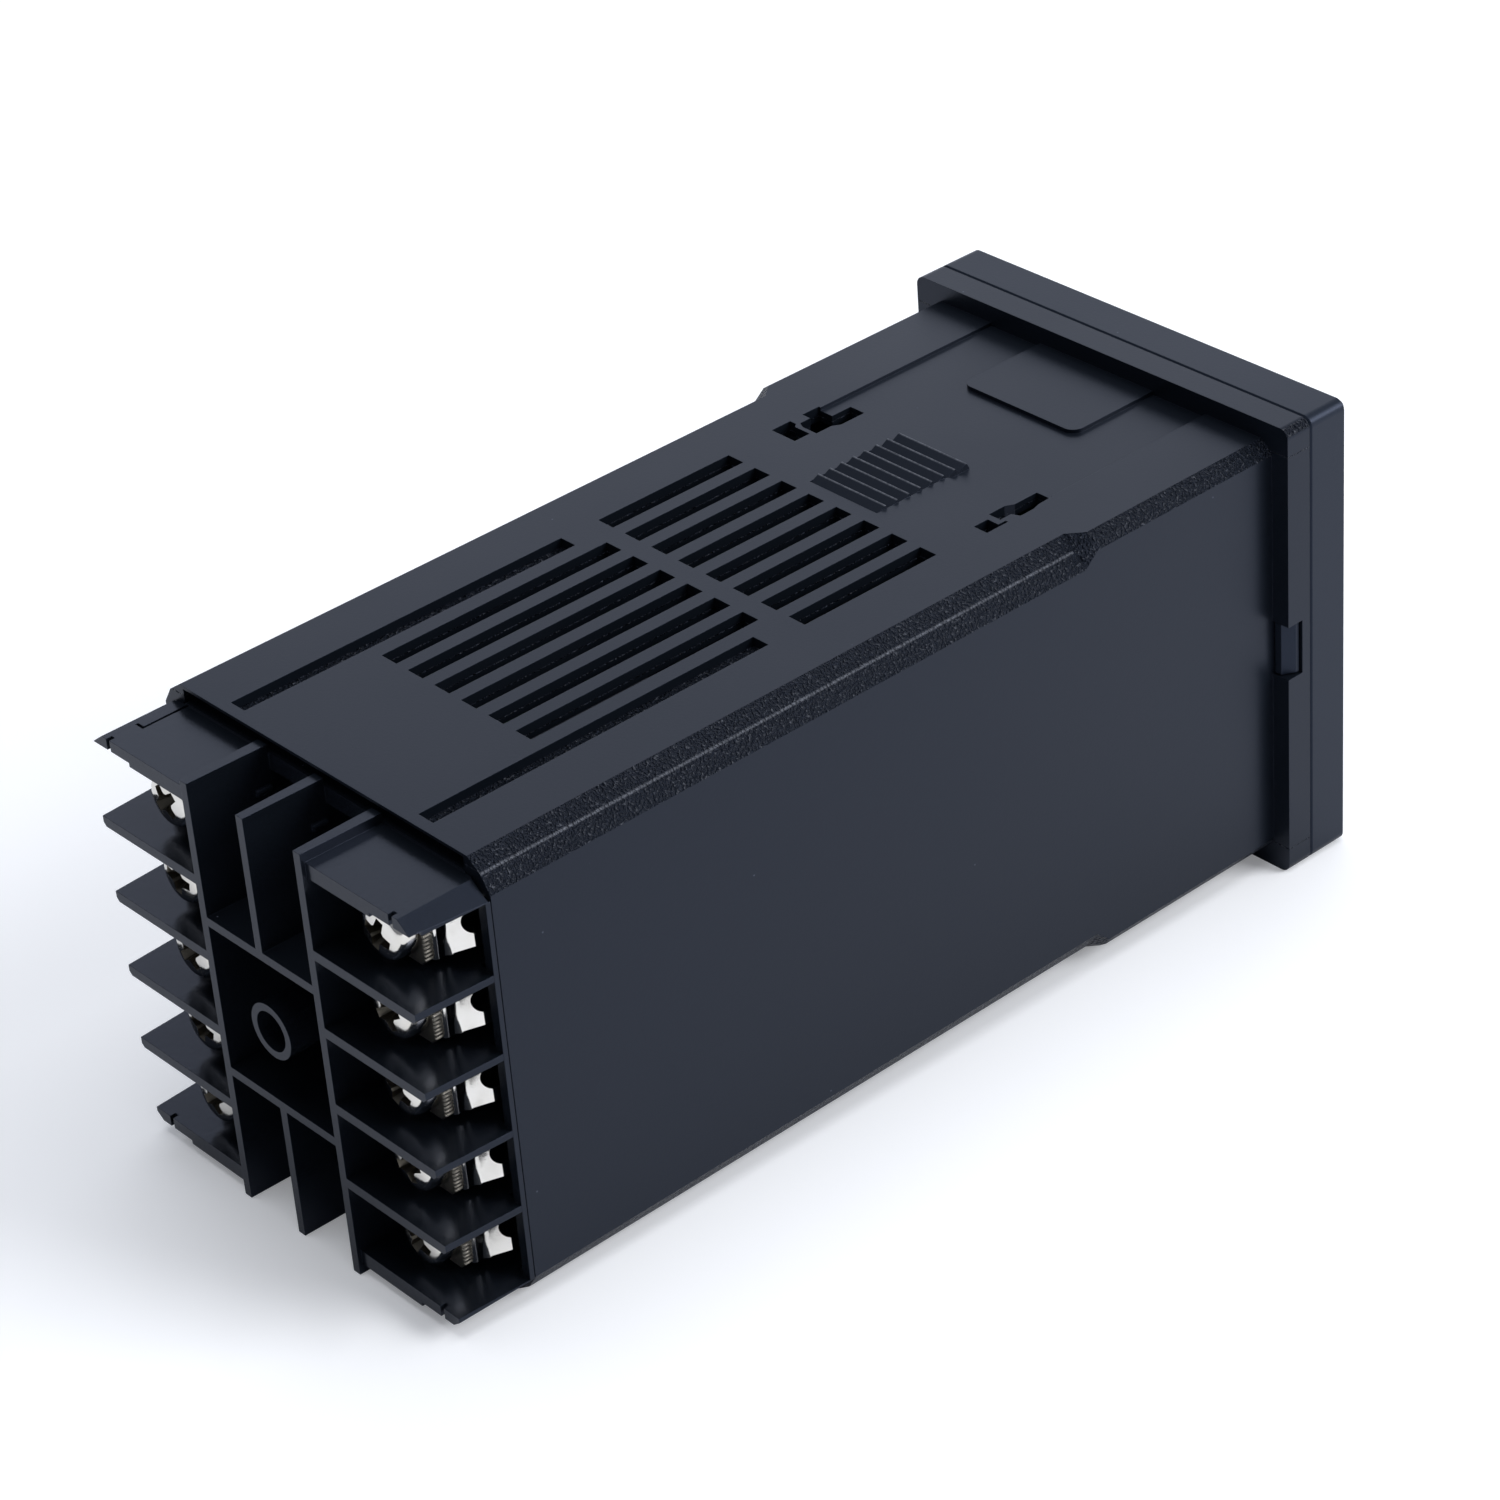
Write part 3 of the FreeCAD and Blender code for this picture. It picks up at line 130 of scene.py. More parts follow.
def worked_corners(tree, spot, normal, colour):
    """Normal and colour with the case's own differences. The long corner facets and the groove
    floors carry the sparkling grain of deeper erosion, drawn 0.27 mm wide and steeper than the
    real one so that it shows, with painted glints on its high points. The ridge between the facets
    and the crests of the ratchet carry painted highlights, and the short ramp beside the ratchet is
    shaded as part of the flat roof."""
    axes = add(tree, "ShaderNodeSeparateXYZ", {"Vector": spot})
    height = add(tree, MATH, {0: axes.outputs["Z"], 1: AXIS_Z * MM}, operation="SUBTRACT")
    side = add(tree, MATH, {0: axes.outputs["X"]}, operation="ABSOLUTE")
    level = add(tree, MATH, {0: height.outputs[0]}, operation="ABSOLUTE")
    reach = add(tree, MATH, {0: side.outputs[0], 1: level.outputs[0]}, operation="ADD")

    # Pits on each face that leans both sideways and upwards, and on the groove floors; their highest points
    # get painted glints.
    geometry = add(tree, "ShaderNodeNewGeometry")
    face = add(tree, "ShaderNodeSeparateXYZ", {"Vector": geometry.outputs["True Normal"]})
    lean_x = add(tree, MATH, {0: face.outputs["X"]}, operation="ABSOLUTE")
    lean_z = add(tree, MATH, {0: face.outputs["Z"]}, operation="ABSOLUTE")
    lean = add(tree, MATH, {0: lean_x.outputs[0], 1: lean_z.outputs[0]}, operation="MINIMUM")
    facet = add(tree, MATH, {0: lean.outputs[0], 1: CORNER_LEAN}, operation="GREATER_THAN")
    groove = add(tree, MATH, {0: level.outputs[0], 1: GROOVE_FLOOR_LEVEL * MM,
                              2: GROOVE_FLOOR_BAND * MM}, operation="COMPARE")
    grained = add(tree, MATH, {0: facet.outputs[0], 1: groove.outputs[0]}, operation="MAXIMUM")
    pits = add(tree, NOISE, {"Vector": spot, "Scale": per_mm(PIT_WIDTH), "Detail": 1.0,
                             "Roughness": 0.6})
    pitted = add(tree, MATH, {0: pits.outputs["Fac"], 1: grained.outputs[0]}, operation="MULTIPLY")
    coarse = add(tree, BUMP, {"Height": pitted.outputs[0], "Distance": PIT_BUMP * MM, "Normal": normal})
    glint = add(tree, RANGE, {"Value": pitted.outputs[0], "From Min": 0.6, "From Max": 0.72,
                              "To Max": 0.3})

    # The ramp takes the roof's normal, straight up above the axis and down below it.
    ramp_y = add(tree, MATH, {0: axes.outputs["Y"], 1: (RAMP_Y - HALF_LENGTH) * MM,
                              2: RAMP_HALF_LENGTH * MM}, operation="COMPARE")
    ramp_x = add(tree, MATH, {0: side.outputs[0], 1: RAMP_X * MM, 2: RAMP_HALF_WIDTH * MM},
                 operation="COMPARE")
    crossed = add(tree, MATH, {0: ramp_y.outputs[0], 1: ramp_x.outputs[0]}, operation="MULTIPLY")
    high = add(tree, MATH, {0: level.outputs[0], 1: RAMP_MIN_LEVEL * MM}, operation="GREATER_THAN")
    ramp = add(tree, MATH, {0: crossed.outputs[0], 1: high.outputs[0]}, operation="MULTIPLY")
    sign = add(tree, MATH, {0: height.outputs[0]}, operation="SIGN")
    upright = add(tree, "ShaderNodeCombineXYZ", {"Z": sign.outputs[0]})
    faired = add(tree, MIX, {"Factor": ramp.outputs[0], VECTOR_A: coarse.outputs["Normal"],
                             VECTOR_B: upright.outputs[0]}, data_type="VECTOR")

    # Painted highlights, lighter in patches: the ridge where two facets meet, the ratchet's crests and the
    # grain's tips.
    ridge = add(tree, RANGE, {"Value": reach.outputs[0], "From Min": RIDGE_REACH[0] * MM,
                              "From Max": RIDGE_REACH[1] * MM})
    behind = add(tree, MATH, {0: axes.outputs["Y"], 1: (RIDGE_START_Y - HALF_LENGTH) * MM},
                 operation="GREATER_THAN")
    ridge = add(tree, MATH, {0: ridge.outputs["Result"], 1: behind.outputs[0]}, operation="MULTIPLY")
    crest = add(tree, RANGE, {"Value": level.outputs[0], "From Min": CREST_LEVEL[0] * MM,
                              "From Max": CREST_LEVEL[1] * MM})
    toothed = add(tree, MATH, {0: axes.outputs["Y"], 1: (RATCHET_Y - HALF_LENGTH) * MM,
                               2: RATCHET_HALF_LENGTH * MM}, operation="COMPARE")
    crest = add(tree, MATH, {0: crest.outputs["Result"], 1: toothed.outputs[0]}, operation="MULTIPLY")
    highlight = add(tree, MATH, {0: ridge.outputs[0], 1: crest.outputs[0]}, operation="MAXIMUM")
    highlight = add(tree, MATH, {0: highlight.outputs[0], 1: pits.outputs["Fac"]}, operation="MULTIPLY")
    highlight = add(tree, MATH, {0: highlight.outputs[0], 1: glint.outputs["Result"]}, operation="MAXIMUM")
    # The painted highlights are a pale blue-grey mixed into the plastic's colour.
    highlighted = add(tree, MIX, {"Factor": highlight.outputs[0], COLOUR_A: colour, COLOUR_B: linear("#8b8f99")},
                 data_type="RGBA")
    return faired.outputs[VECTOR_RESULT], highlighted.outputs[COLOUR_RESULT]


def moulded_plastic(name, shade, lift, rough, grain_mm, grain_depth, edge_mm, corner_grain=False):
    """Moulded plastic as it leaves a polished or finely eroded mould: a satin face with a faint
    grain, slow cloudy flow marks 22 mm wide, light dust specks 0.15 mm wide and edges broken by
    edge_mm. The grain is drawn grain_mm wide, coarser than the real one, so that it shows.
    corner_grain adds what worked_corners does."""
    material, tree, out, spot = new_material(name)
    grain = add(tree, NOISE, {"Vector": spot, "Scale": per_mm(grain_mm), "Detail": 3.0,
                              "Roughness": 0.6})
    clouds = add(tree, NOISE, {"Vector": spot, "Scale": per_mm(22), "Detail": 2.0})
    tone = add(tree, MIX, {"Factor": clouds.outputs["Fac"], COLOUR_A: linear(shade),
                           COLOUR_B: linear(lift)}, data_type="RGBA")
    cells = add(tree, "ShaderNodeTexVoronoi", {"Vector": spot, "Scale": per_mm(4.2), "Randomness": 1.0})
    speck = add(tree, RANGE, {"Value": cells.outputs["Distance"], "From Min": 0.015,
                              "From Max": 0.024, "To Min": 0.45, "To Max": 0.0})
    dusty = add(tree, MIX, {"Factor": speck.outputs["Result"], COLOUR_A: tone.outputs[COLOUR_RESULT],
                            COLOUR_B: linear("#6a7080")}, data_type="RGBA")
    shine = add(tree, RANGE, {"Value": clouds.outputs["Fac"], "From Min": 0.3, "From Max": 0.7,
                              "To Min": rough - 0.03, "To Max": rough + 0.03})
    broken_edge = add(tree, "ShaderNodeBevel", {"Radius": edge_mm * MM}, samples=4)
    bump = add(tree, BUMP, {"Height": grain.outputs["Fac"], "Distance": grain_depth * MM,
                            "Normal": broken_edge.outputs["Normal"]})
    normal, colour = bump.outputs["Normal"], dusty.outputs[COLOUR_RESULT]
    if corner_grain:
        normal, colour = worked_corners(tree, spot, normal, colour)
    shader = add(tree, SHADER, {
        "Base Color": colour, "Roughness": shine.outputs["Result"], "Normal": normal,
        "Specular IOR Level": 0.36, "Specular Tint": linear("#c6d6ff")})
    tree.links.new(shader.outputs[0], out.inputs["Surface"])
    return material


def plated_metal(name, shade, dull, rough, streak_mm, streak_depth):
    """Bright nickel over pressed or turned steel: a mirror dulled by drawing streaks and a few
    brownish handling clouds 1.6 mm wide. The streaks are drawn streak_mm wide and eight times as
    long, coarser than the real ones, so that they show."""
    material, tree, out, spot = new_material(name)
    stretched = add(tree, "ShaderNodeMapping", {"Vector": spot, "Scale": (1.0, 0.12, 1.0)})
    streaks = add(tree, NOISE, {"Vector": stretched.outputs["Vector"], "Scale": per_mm(streak_mm),
                                "Detail": 3.0, "Roughness": 0.65})
    clouds = add(tree, NOISE, {"Vector": spot, "Scale": per_mm(1.6), "Detail": 2.0})
    tone = add(tree, MIX, {"Factor": clouds.outputs["Fac"], COLOUR_A: linear(shade),
                           COLOUR_B: linear(dull)}, data_type="RGBA")
    shine = add(tree, RANGE, {"Value": clouds.outputs["Fac"], "From Min": 0.3, "From Max": 0.7,
                              "To Min": rough, "To Max": rough + 0.12})
    bump = add(tree, BUMP, {"Height": streaks.outputs["Fac"], "Distance": streak_depth * MM})
    shader = add(tree, SHADER, {
        "Base Color": tone.outputs[COLOUR_RESULT], "Roughness": shine.outputs["Result"],
        "Metallic": 1.0, "Normal": bump.outputs["Normal"]})
    tree.links.new(shader.outputs[0], out.inputs["Surface"])
    return material


def circuit_laminate(name):
    """Glass-epoxy board under green solder resist: copper shows lighter through it in patches
    of bands 8 mm apart, far coarser than real tracks, with tinned round pads 1 mm wide on a
    2.54 mm grid here and there."""
    material, tree, out, spot = new_material(name)
    bands = add(tree, "ShaderNodeTexWave", {"Vector": spot, "Scale": bands_per_mm(1.27),
                                            "Distortion": 0.0}, wave_type="BANDS", bands_direction="Z")
    routes = add(tree, "ShaderNodeTexVoronoi", {"Vector": spot, "Scale": per_mm(7), "Randomness": 0.8},
                 distance="CHEBYCHEV", feature="F1")
    track = add(tree, MATH, {0: bands.outputs["Fac"], 1: routes.outputs["Distance"]},
                operation="MULTIPLY")
    edge = add(tree, RANGE, {"Value": track.outputs[0], "From Min": 0.3, "From Max": 0.34})
    green = add(tree, MIX, {"Factor": edge.outputs["Result"], COLOUR_A: linear("#0a2f1b"),
                            COLOUR_B: linear("#134826")}, data_type="RGBA")
    dots = add(tree, "ShaderNodeTexVoronoi", {"Vector": spot, "Scale": per_mm(2.54), "Randomness": 0.0})
    pad = add(tree, RANGE, {"Value": dots.outputs["Distance"], "From Min": 0.2, "From Max": 0.24,
                            "To Min": 1.0, "To Max": 0.0})
    some = add(tree, NOISE, {"Vector": spot, "Scale": per_mm(6), "Detail": 0.0})
    chosen = add(tree, MATH, {0: some.outputs["Fac"], 1: 0.55}, operation="GREATER_THAN")
    tinned = add(tree, MATH, {0: pad.outputs["Result"], 1: chosen.outputs[0]}, operation="MULTIPLY")
    face = add(tree, MIX, {"Factor": tinned.outputs[0], COLOUR_A: green.outputs[COLOUR_RESULT],
                           COLOUR_B: linear("#b9bbb8")}, data_type="RGBA")
    bump = add(tree, BUMP, {"Height": edge.outputs["Result"], "Distance": 0.03 * MM})
    shader = add(tree, SHADER, {
        "Base Color": face.outputs[COLOUR_RESULT], "Metallic": tinned.outputs[0], "Roughness": 0.35,
        "Normal": bump.outputs["Normal"]})
    tree.links.new(shader.outputs[0], out.inputs["Surface"])
    return material


def laminated_steel(name):
    """Stack of varnished silicon-steel sheets: lines across the stack. The sheets are 0.5 mm
    thick and are drawn as bands 3.1 mm apart, coarser so that they show."""
    material, tree, out, spot = new_material(name)
    sheets = add(tree, "ShaderNodeTexWave", {"Vector": spot, "Scale": bands_per_mm(0.5),
                                             "Distortion": 0.2}, wave_type="BANDS", bands_direction="X")
    stain = add(tree, NOISE, {"Vector": spot, "Scale": per_mm(4), "Detail": 3.0})
    tone = add(tree, MIX, {"Factor": stain.outputs["Fac"], COLOUR_A: linear("#4d4a46"),
                           COLOUR_B: linear("#6e6c69")}, data_type="RGBA")
    dark = add(tree, MIX, {"Factor": sheets.outputs["Fac"], COLOUR_A: linear("#2a2826"),
                           COLOUR_B: tone.outputs[COLOUR_RESULT]}, data_type="RGBA")
    bump = add(tree, BUMP, {"Height": sheets.outputs["Fac"], "Distance": 0.05 * MM})
    shader = add(tree, SHADER, {
        "Base Color": dark.outputs[COLOUR_RESULT], "Metallic": 0.8, "Roughness": 0.45,
        "Normal": bump.outputs["Normal"]})
    tree.links.new(shader.outputs[0], out.inputs["Surface"])
    return material


def wound_tape(name):
    """Yellow polyester tape over the winding: glossy, with a soft step every 20 mm where a turn
    of tape ends."""
    material, tree, out, spot = new_material(name)
    turns = add(tree, "ShaderNodeTexWave", {"Vector": spot, "Scale": bands_per_mm(3.2),
                                            "Distortion": 1.5, "Detail": 1.0},
                wave_type="BANDS", bands_direction="Z")
    tone = add(tree, MIX, {"Factor": turns.outputs["Fac"], COLOUR_A: linear("#b58a14"),
                           COLOUR_B: linear("#d8ae2c")}, data_type="RGBA")
    bump = add(tree, BUMP, {"Height": turns.outputs["Fac"], "Distance": 0.08 * MM})
    shader = add(tree, SHADER, {
        "Base Color": tone.outputs[COLOUR_RESULT], "Roughness": 0.28, "Normal": bump.outputs["Normal"]})
    tree.links.new(shader.outputs[0], out.inputs["Surface"])
    return material


def plain_resin(name, shade, lift, rough, patch_mm):
    """Small moulded or potted part: one resin colour with slight flow marks, patch_mm wide, and
    a fine grain drawn 0.25 mm wide, coarser than the real one."""
    material, tree, out, spot = new_material(name)
    flow = add(tree, NOISE, {"Vector": spot, "Scale": per_mm(patch_mm), "Detail": 3.0})
    tone = add(tree, MIX, {"Factor": flow.outputs["Fac"], COLOUR_A: linear(shade),
                           COLOUR_B: linear(lift)}, data_type="RGBA")
    grain = add(tree, NOISE, {"Vector": spot, "Scale": per_mm(0.25), "Detail": 2.0})
    bump = add(tree, BUMP, {"Height": grain.outputs["Fac"], "Distance": 0.01 * MM})
    shader = add(tree, SHADER, {
        "Base Color": tone.outputs[COLOUR_RESULT], "Roughness": rough,
        "Normal": bump.outputs["Normal"], "IOR": 1.5})
    tree.links.new(shader.outputs[0], out.inputs["Surface"])
    return material


def smoked_acrylic(name):
    """Tinted cast acrylic: a polished face over a dark red-brown body that lets some light
    through."""
    material, tree, out, spot = new_material(name)
    haze = add(tree, NOISE, {"Vector": spot, "Scale": per_mm(9), "Detail": 2.0})
    shine = add(tree, RANGE, {"Value": haze.outputs["Fac"], "To Min": 0.03, "To Max": 0.07})
    shader = add(tree, SHADER, {
        "Base Color": linear("#8c5a52"), "Roughness": shine.outputs["Result"], "IOR": 1.49,
        "Transmission Weight": 0.9})
    tree.links.new(shader.outputs[0], out.inputs["Surface"])
    return material


case_abs = moulded_plastic("satin_black_abs", "#0d1117", "#10151c", 0.34, 0.3, 0.006, 0.05,
                           corner_grain=True)
frame_abs = moulded_plastic("frame_abs", "#12171f", "#151b24", 0.38, 0.3, 0.006, 0.1)
block_pbt = moulded_plastic("glass_filled_pbt", "#0f1319", "#12161c", 0.22, 0.5, 0.01, 0.06)
key_abs = moulded_plastic("grey_key_abs", "#4c5058", "#565b63", 0.45, 0.3, 0.01, 0.1)
plate_nickel = plated_metal("nickel_plated_plate", "#f4f2ee", "#ebe7df", 0.04, 0.25, 0.003)
washer_nickel = plated_metal("nickel_plated_washer", "#8b8882", "#6e6a62", 0.34, 0.2, 0.05)
# Nickel inside the cross recess is darker and rougher: its dark tone is painted shade.
shaded_recess_nickel = plated_metal("shaded_screw_recess", "#6b665c", "#4a463e", 0.28, 0.3, 0.03)
screw_nickel = plated_metal("nickel_plated_screw", "#efede8", "#dcd7cd", 0.05, 0.2, 0.005)
finishes = {
    "case_plastic": case_abs,
    "bezel_plastic": frame_abs,
    "block_plastic": block_pbt,
    "key_plastic": key_abs,
    "plated_terminal": plate_nickel,
    "plated_washer": washer_nickel,
    "plated_screw": screw_nickel,
    "smoked_window": smoked_acrylic("smoked_acrylic"),
    "circuit_board": circuit_laminate("green_circuit_laminate"),
    "display_module": plain_resin("module_polycarbonate", "#1b1b1d", "#222224", 0.5, 5),
    "lamp_lens": plain_resin("milky_lamp_epoxy", "#b9b3a2", "#cbc6b8", 0.2, 1),
    "switch_housing": plain_resin("switch_nylon", "#17171a", "#202024", 0.5, 2),
    "header_plastic": plain_resin("header_nylon", "#121214", "#1b1b1e", 0.55, 2),
    "laminated_steel": laminated_steel("transformer_lamination"),
    "winding_tape": wound_tape("polyester_tape"),
    "relay_case": plain_resin("black_relay_pbt", "#14161b", "#1b1e25", 0.3, 8),
    "capacitor_sleeve": plain_resin("capacitor_sleeve", "#14161f", "#1c2030", 0.25, 3),
    "chip_resin": plain_resin("chip_moulding_resin", "#141415", "#1d1d1f", 0.6, 1.5),
}
slot_of = {entry["node"]: entry["material_slot"] for entry in frame["record"]["subparts"]}
for node, obj in frame["nodes"].items():
    finish = finishes[slot_of[node]]
    if not obj.material_slots:
        obj.data.materials.append(finish)
    for holder in obj.material_slots:
        holder.material = finish


def new_piece(name, points, faces, finish, body):
    """Mesh from arrays of points in millimetres about the case's axis and faces, on a body."""
    mesh = bpy.data.meshes.new(name)
    shifted = (np.asarray(points, float) + [0, -HALF_LENGTH, AXIS_Z]) * MM
    mesh.from_pydata(shifted.tolist(), [], [list(map(int, face)) for face in faces])
    mesh.update()
    mesh.materials.append(finish)
    obj = bpy.data.objects.new(name, mesh)
    bpy.context.collection.objects.link(obj)
    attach(obj, body)
    return obj


def raised_print(outlines, face_y, rise):
    """Each closed outline (x, z) becomes a closed thin plate that stands rise in front of the
    plane y: a front face, a back face and the walls. Outlines run anticlockwise as seen."""
    points, faces = [], []
    for outline in outlines:
        outline = np.asarray(outline, float)
        n = len(outline)
        base = len(points)
        ring = np.zeros((2 * n, 3))
        ring[:, [0, 2]] = np.tile(outline, (2, 1))
        ring[:n, 1] = face_y - rise
        ring[n:, 1] = face_y
        points += ring.tolist()
        i = np.arange(n)
        j = (i + 1) % n
        faces += [base + i]
        faces += [base + n + i[::-1]]
        faces += (base + np.stack([j, i, i + n, j + n], axis=1)).tolist()
    return points, faces


def seven_segments(cx, cz, width, height, stroke, slant):
    """Six-cornered bars of one digit: each runs between two corners of a figure eight, with
    pointed ends and a small gap, and leans by slant times its height."""
    half = stroke / 2
    gap = 0.12 * stroke
    w, h = width / 2, height / 2
    ends = [
        ((-w, h), (w, h)), ((w, h), (w, 0)), ((w, 0), (w, -h)), ((-w, -h), (w, -h)),
        ((-w, -h), (-w, 0)), ((-w, 0), (-w, h)), ((-w, 0), (w, 0)),
    ]
    bars = []
    for start, end in ends:
        a, b = np.array(start, float), np.array(end, float)
        along = (b - a) / np.linalg.norm(b - a)
        across = np.array([-along[1], along[0]])
        a, b = a + along * gap, b - along * gap
        bar = np.array([a, a + (along - across) * half, b - (along + across) * half, b,
                        b - (along - across) * half, a + (along + across) * half])
        bar[:, 0] += slant * bar[:, 1]
        bars.append(bar + [cx, cz])
    return bars


def dot(cx, cz, radius):
    """Outline of a small round mark with 20 sides."""
    turn = np.linspace(0, 2 * np.pi, 20, endpoint=False)
    return np.stack([cx + radius * np.cos(turn), cz + radius * np.sin(turn)], axis=1)


# Digits that stand off the display module's face, each with its decimal point.
MODULE_FACE = 3.1
SEGMENT_RISE = 0.03
DIGIT_PITCH = 7.4
DIGIT_SLANT = 0.12
POINT_GAP = 1.2
POINT_TO_STROKE = 0.45
# The two displays as name, level, and each digit's width, height and stroke.
DISPLAYS = (("upper", 12.4, 4.5, 8.6, 1.0), ("lower", 0.9, 3.6, 6.2, 0.8))
segment_epoxy = plain_resin("milky_segment_epoxy", "#8f8578", "#a39a8c", 0.35, 0.8)
for label, middle, width, height, stroke in DISPLAYS:
    bars = []
    for column in (-1.5, -0.5, 0.5, 1.5):
        centre = column * DIGIT_PITCH
        bars += seven_segments(centre, middle, width, height, stroke, DIGIT_SLANT)
        bars.append(dot(centre + width / 2 + POINT_GAP, middle - height / 2, POINT_TO_STROKE * stroke))
    points, faces = raised_print(bars, MODULE_FACE, SEGMENT_RISE)
    new_piece(label + "_digit_segments", points, faces, segment_epoxy, "housing")

# White marks on the keys: a ring of 32 pieces and three triangles.
KEY_FACE = 0.25
KEY_LEVEL = -13.2
KEY_PITCH = 9.4
PRINT_RISE = 0.02
RING_OUTSIDE, RING_INSIDE = 1.05, 0.7
MARKS = {"shift": [[-1.0, 0.0], [0.7, -1.0], [0.7, 1.0]],
         "down": [[-1.1, 0.65], [0.0, -0.95], [1.1, 0.65]],
         "up": [[-1.1, -0.65], [1.1, -0.65], [0.0, 0.95]]}
key_ink = plain_resin("white_pad_print", "#d9dadb", "#e4e5e6", 0.5, 1)
turn = np.linspace(0, 2 * np.pi, 33)
spokes = np.stack([np.cos(turn), np.sin(turn)], axis=1)
ring_mark = [[RING_OUTSIDE * a, RING_OUTSIDE * b, RING_INSIDE * b, RING_INSIDE * a]
             for a, b in zip(spokes, spokes[1:])]
for index, key in enumerate(("set", "shift", "down", "up")):
    outlines = ring_mark if key == "set" else [MARKS[key]]
    outlines = [np.asarray(outline) + [(index - 1.5) * KEY_PITCH, KEY_LEVEL] for outline in outlines]
    points, faces = raised_print(outlines, KEY_FACE, PRINT_RISE)
    new_piece("mark_" + key, points, faces, key_ink, key + "_key")

# Points round a screw, of which each side of a plate's patch has a quarter.
AROUND = 80
SIDE_STEPS = AROUND // 4


def grid_faces(rows, columns, closed):
    """Quads of a grid of points by row and column, whose last column joins the first if closed."""
    i, j = np.meshgrid(np.arange(rows - 1), np.arange(columns if closed else columns - 1), indexing="ij")
    k = (j + 1) % columns
    quads = [i * columns + j, i * columns + k, (i + 1) * columns + k, (i + 1) * columns + j]
    return np.stack(quads, axis=-1).reshape(-1, 4)


def closed_rings(rings):
    """Points and faces of a stack of rings of equal length: quads between neighbours and a fan
    to a middle point at each end."""
    rows, count = rings.shape[:2]
    points = np.concatenate([rings.reshape(-1, 3), rings[[0, -1]].mean(axis=1)])
    quads = grid_faces(rows, count, True)
    j = np.arange(count)
    k = (j + 1) % count
    first = np.stack([np.full(count, rows * count), k, j], axis=1)
    last = np.stack([np.full(count, rows * count + 1), (rows - 1) * count + j, (rows - 1) * count + k],
                    axis=1)
    return points, quads.tolist() + first.tolist() + last.tolist()


def looped_rings(rings):
    """Points and faces of rings of equal length where the last ring joins the first."""
    rows, count = rings.shape[:2]
    return rings.reshape(-1, 3), (grid_faces(rows + 1, count, True) % (rows * count)).tolist()


# Screw head and core about the face under the head, as radius and height, and the mouth of one
# arm of the cross recess as x, y.
HEAD_HEIGHT = 2.4
SHANK = 6.6
CORE_RADIUS = 1.22
DOME_FALL = 0.057
DOME_RADIUS = 2.08
DOME_PARTS = (0.0, 0.08, 0.3, 0.65, 1.0)
HEAD_PROFILE = [(2.3, 2.07), (2.46, 1.93), (2.58, 1.74), (2.66, 1.5), (2.7, 1.2), (2.7, 0.42),
                (2.67, 0.2), (2.56, 0.06), (2.4, 0.0), (CORE_RADIUS, 0.0), (CORE_RADIUS, 0.3 - SHANK),
                (CORE_RADIUS - 0.3, -SHANK)]
RECESS_ARM = np.array([(1.6, -0.42), (1.6, 0.42), (0.74, 0.52), (0.52, 0.74), (0.42, 1.6)])
ARM_STEPS = (6, 5, 4, 5)
# Rings of the recess from its floor up: the part of the mouth's size and the depth.
RECESS_RINGS = ((0.3, 1.36), (0.52, 1.3), (0.66, 0.95), (0.86, 0.35), (0.97, 0.06))
THREAD_RADIUS = 1.5
THREAD_PITCH = 0.5
THREAD_START = -0.55
THREAD_END = 0.45 - SHANK
TURN_STEPS = 28
# The ridge's foot and its faded crest lie this far inside the core, and half their widths.
FOOT_SUNK, FOOT_HALF = 0.12, 0.2
CREST_SUNK, CREST_HALF = 0.1, 0.035


def cross_outline():
    """Mouth of the cross recess as 80 points: each arm's end is straight, its flanks lean in to
    a short flat in the corner between two arms, and a quarter is turned round four times."""
    quarter = np.concatenate([
        a + (b - a) * np.linspace(0, 1, n, endpoint=False)[:, None]
        for a, b, n in zip(RECESS_ARM, RECESS_ARM[1:], ARM_STEPS)])
    quarter_turn = np.array([[0, -1], [1, 0]])
    outline = []
    for _ in range(4):
        outline.append(quarter)
        quarter = quarter @ quarter_turn.T
    return np.concatenate(outline)


def pan_head():
    """Rings of 80 points from the recess floor outwards: the cross outline shrinks with depth
    to a floor 1.3 mm down, the top is a shallow dome, height minus 0.057 r squared, then the
    profile turns over a 0.6 mm round, runs down the rim and under the head to the core."""
    mouth = cross_outline()
    distance = np.linalg.norm(mouth, axis=1, keepdims=True)
    around = mouth / distance
    rings = []
    for shrink, down in RECESS_RINGS:
        radius = distance * shrink
        rings.append(np.hstack([around * radius, HEAD_HEIGHT - down - DOME_FALL * radius ** 2]))
    for part in DOME_PARTS:
        radius = distance + (DOME_RADIUS - distance) * part
        rings.append(np.hstack([around * radius, HEAD_HEIGHT - DOME_FALL * radius ** 2]))
    for radius, height in HEAD_PROFILE:
        rings.append(np.hstack([around * radius, np.full((len(mouth), 1), height)]))
    return np.array(rings)


def thread_ridge():
    """Thread as a four-cornered section carried along a helix: the angle grows evenly while the
    height falls by the pitch each turn, and the crest sinks into the core at both ends."""
    turns = (THREAD_START - THREAD_END) / THREAD_PITCH
    count = int(turns * TURN_STEPS)
    t = np.linspace(0, 1, count)
    angle = 2 * np.pi * turns * t
    fade = np.clip(np.minimum(t, 1 - t) * turns * 2, 0, 1)
    crest = CORE_RADIUS - CREST_SUNK + (THREAD_RADIUS - CORE_RADIUS + CREST_SUNK) * fade
    foot = np.full(count, CORE_RADIUS - FOOT_SUNK)
    middle = THREAD_START + (THREAD_END - THREAD_START) * t
    rings = []
    for radius, rise in ((foot, FOOT_HALF), (crest, CREST_HALF), (crest, -CREST_HALF), (foot, -FOOT_HALF)):
        rings.append(np.stack([radius * np.cos(angle), radius * np.sin(angle), middle + rise], axis=1))
    return np.array(rings).transpose(1, 0, 2)


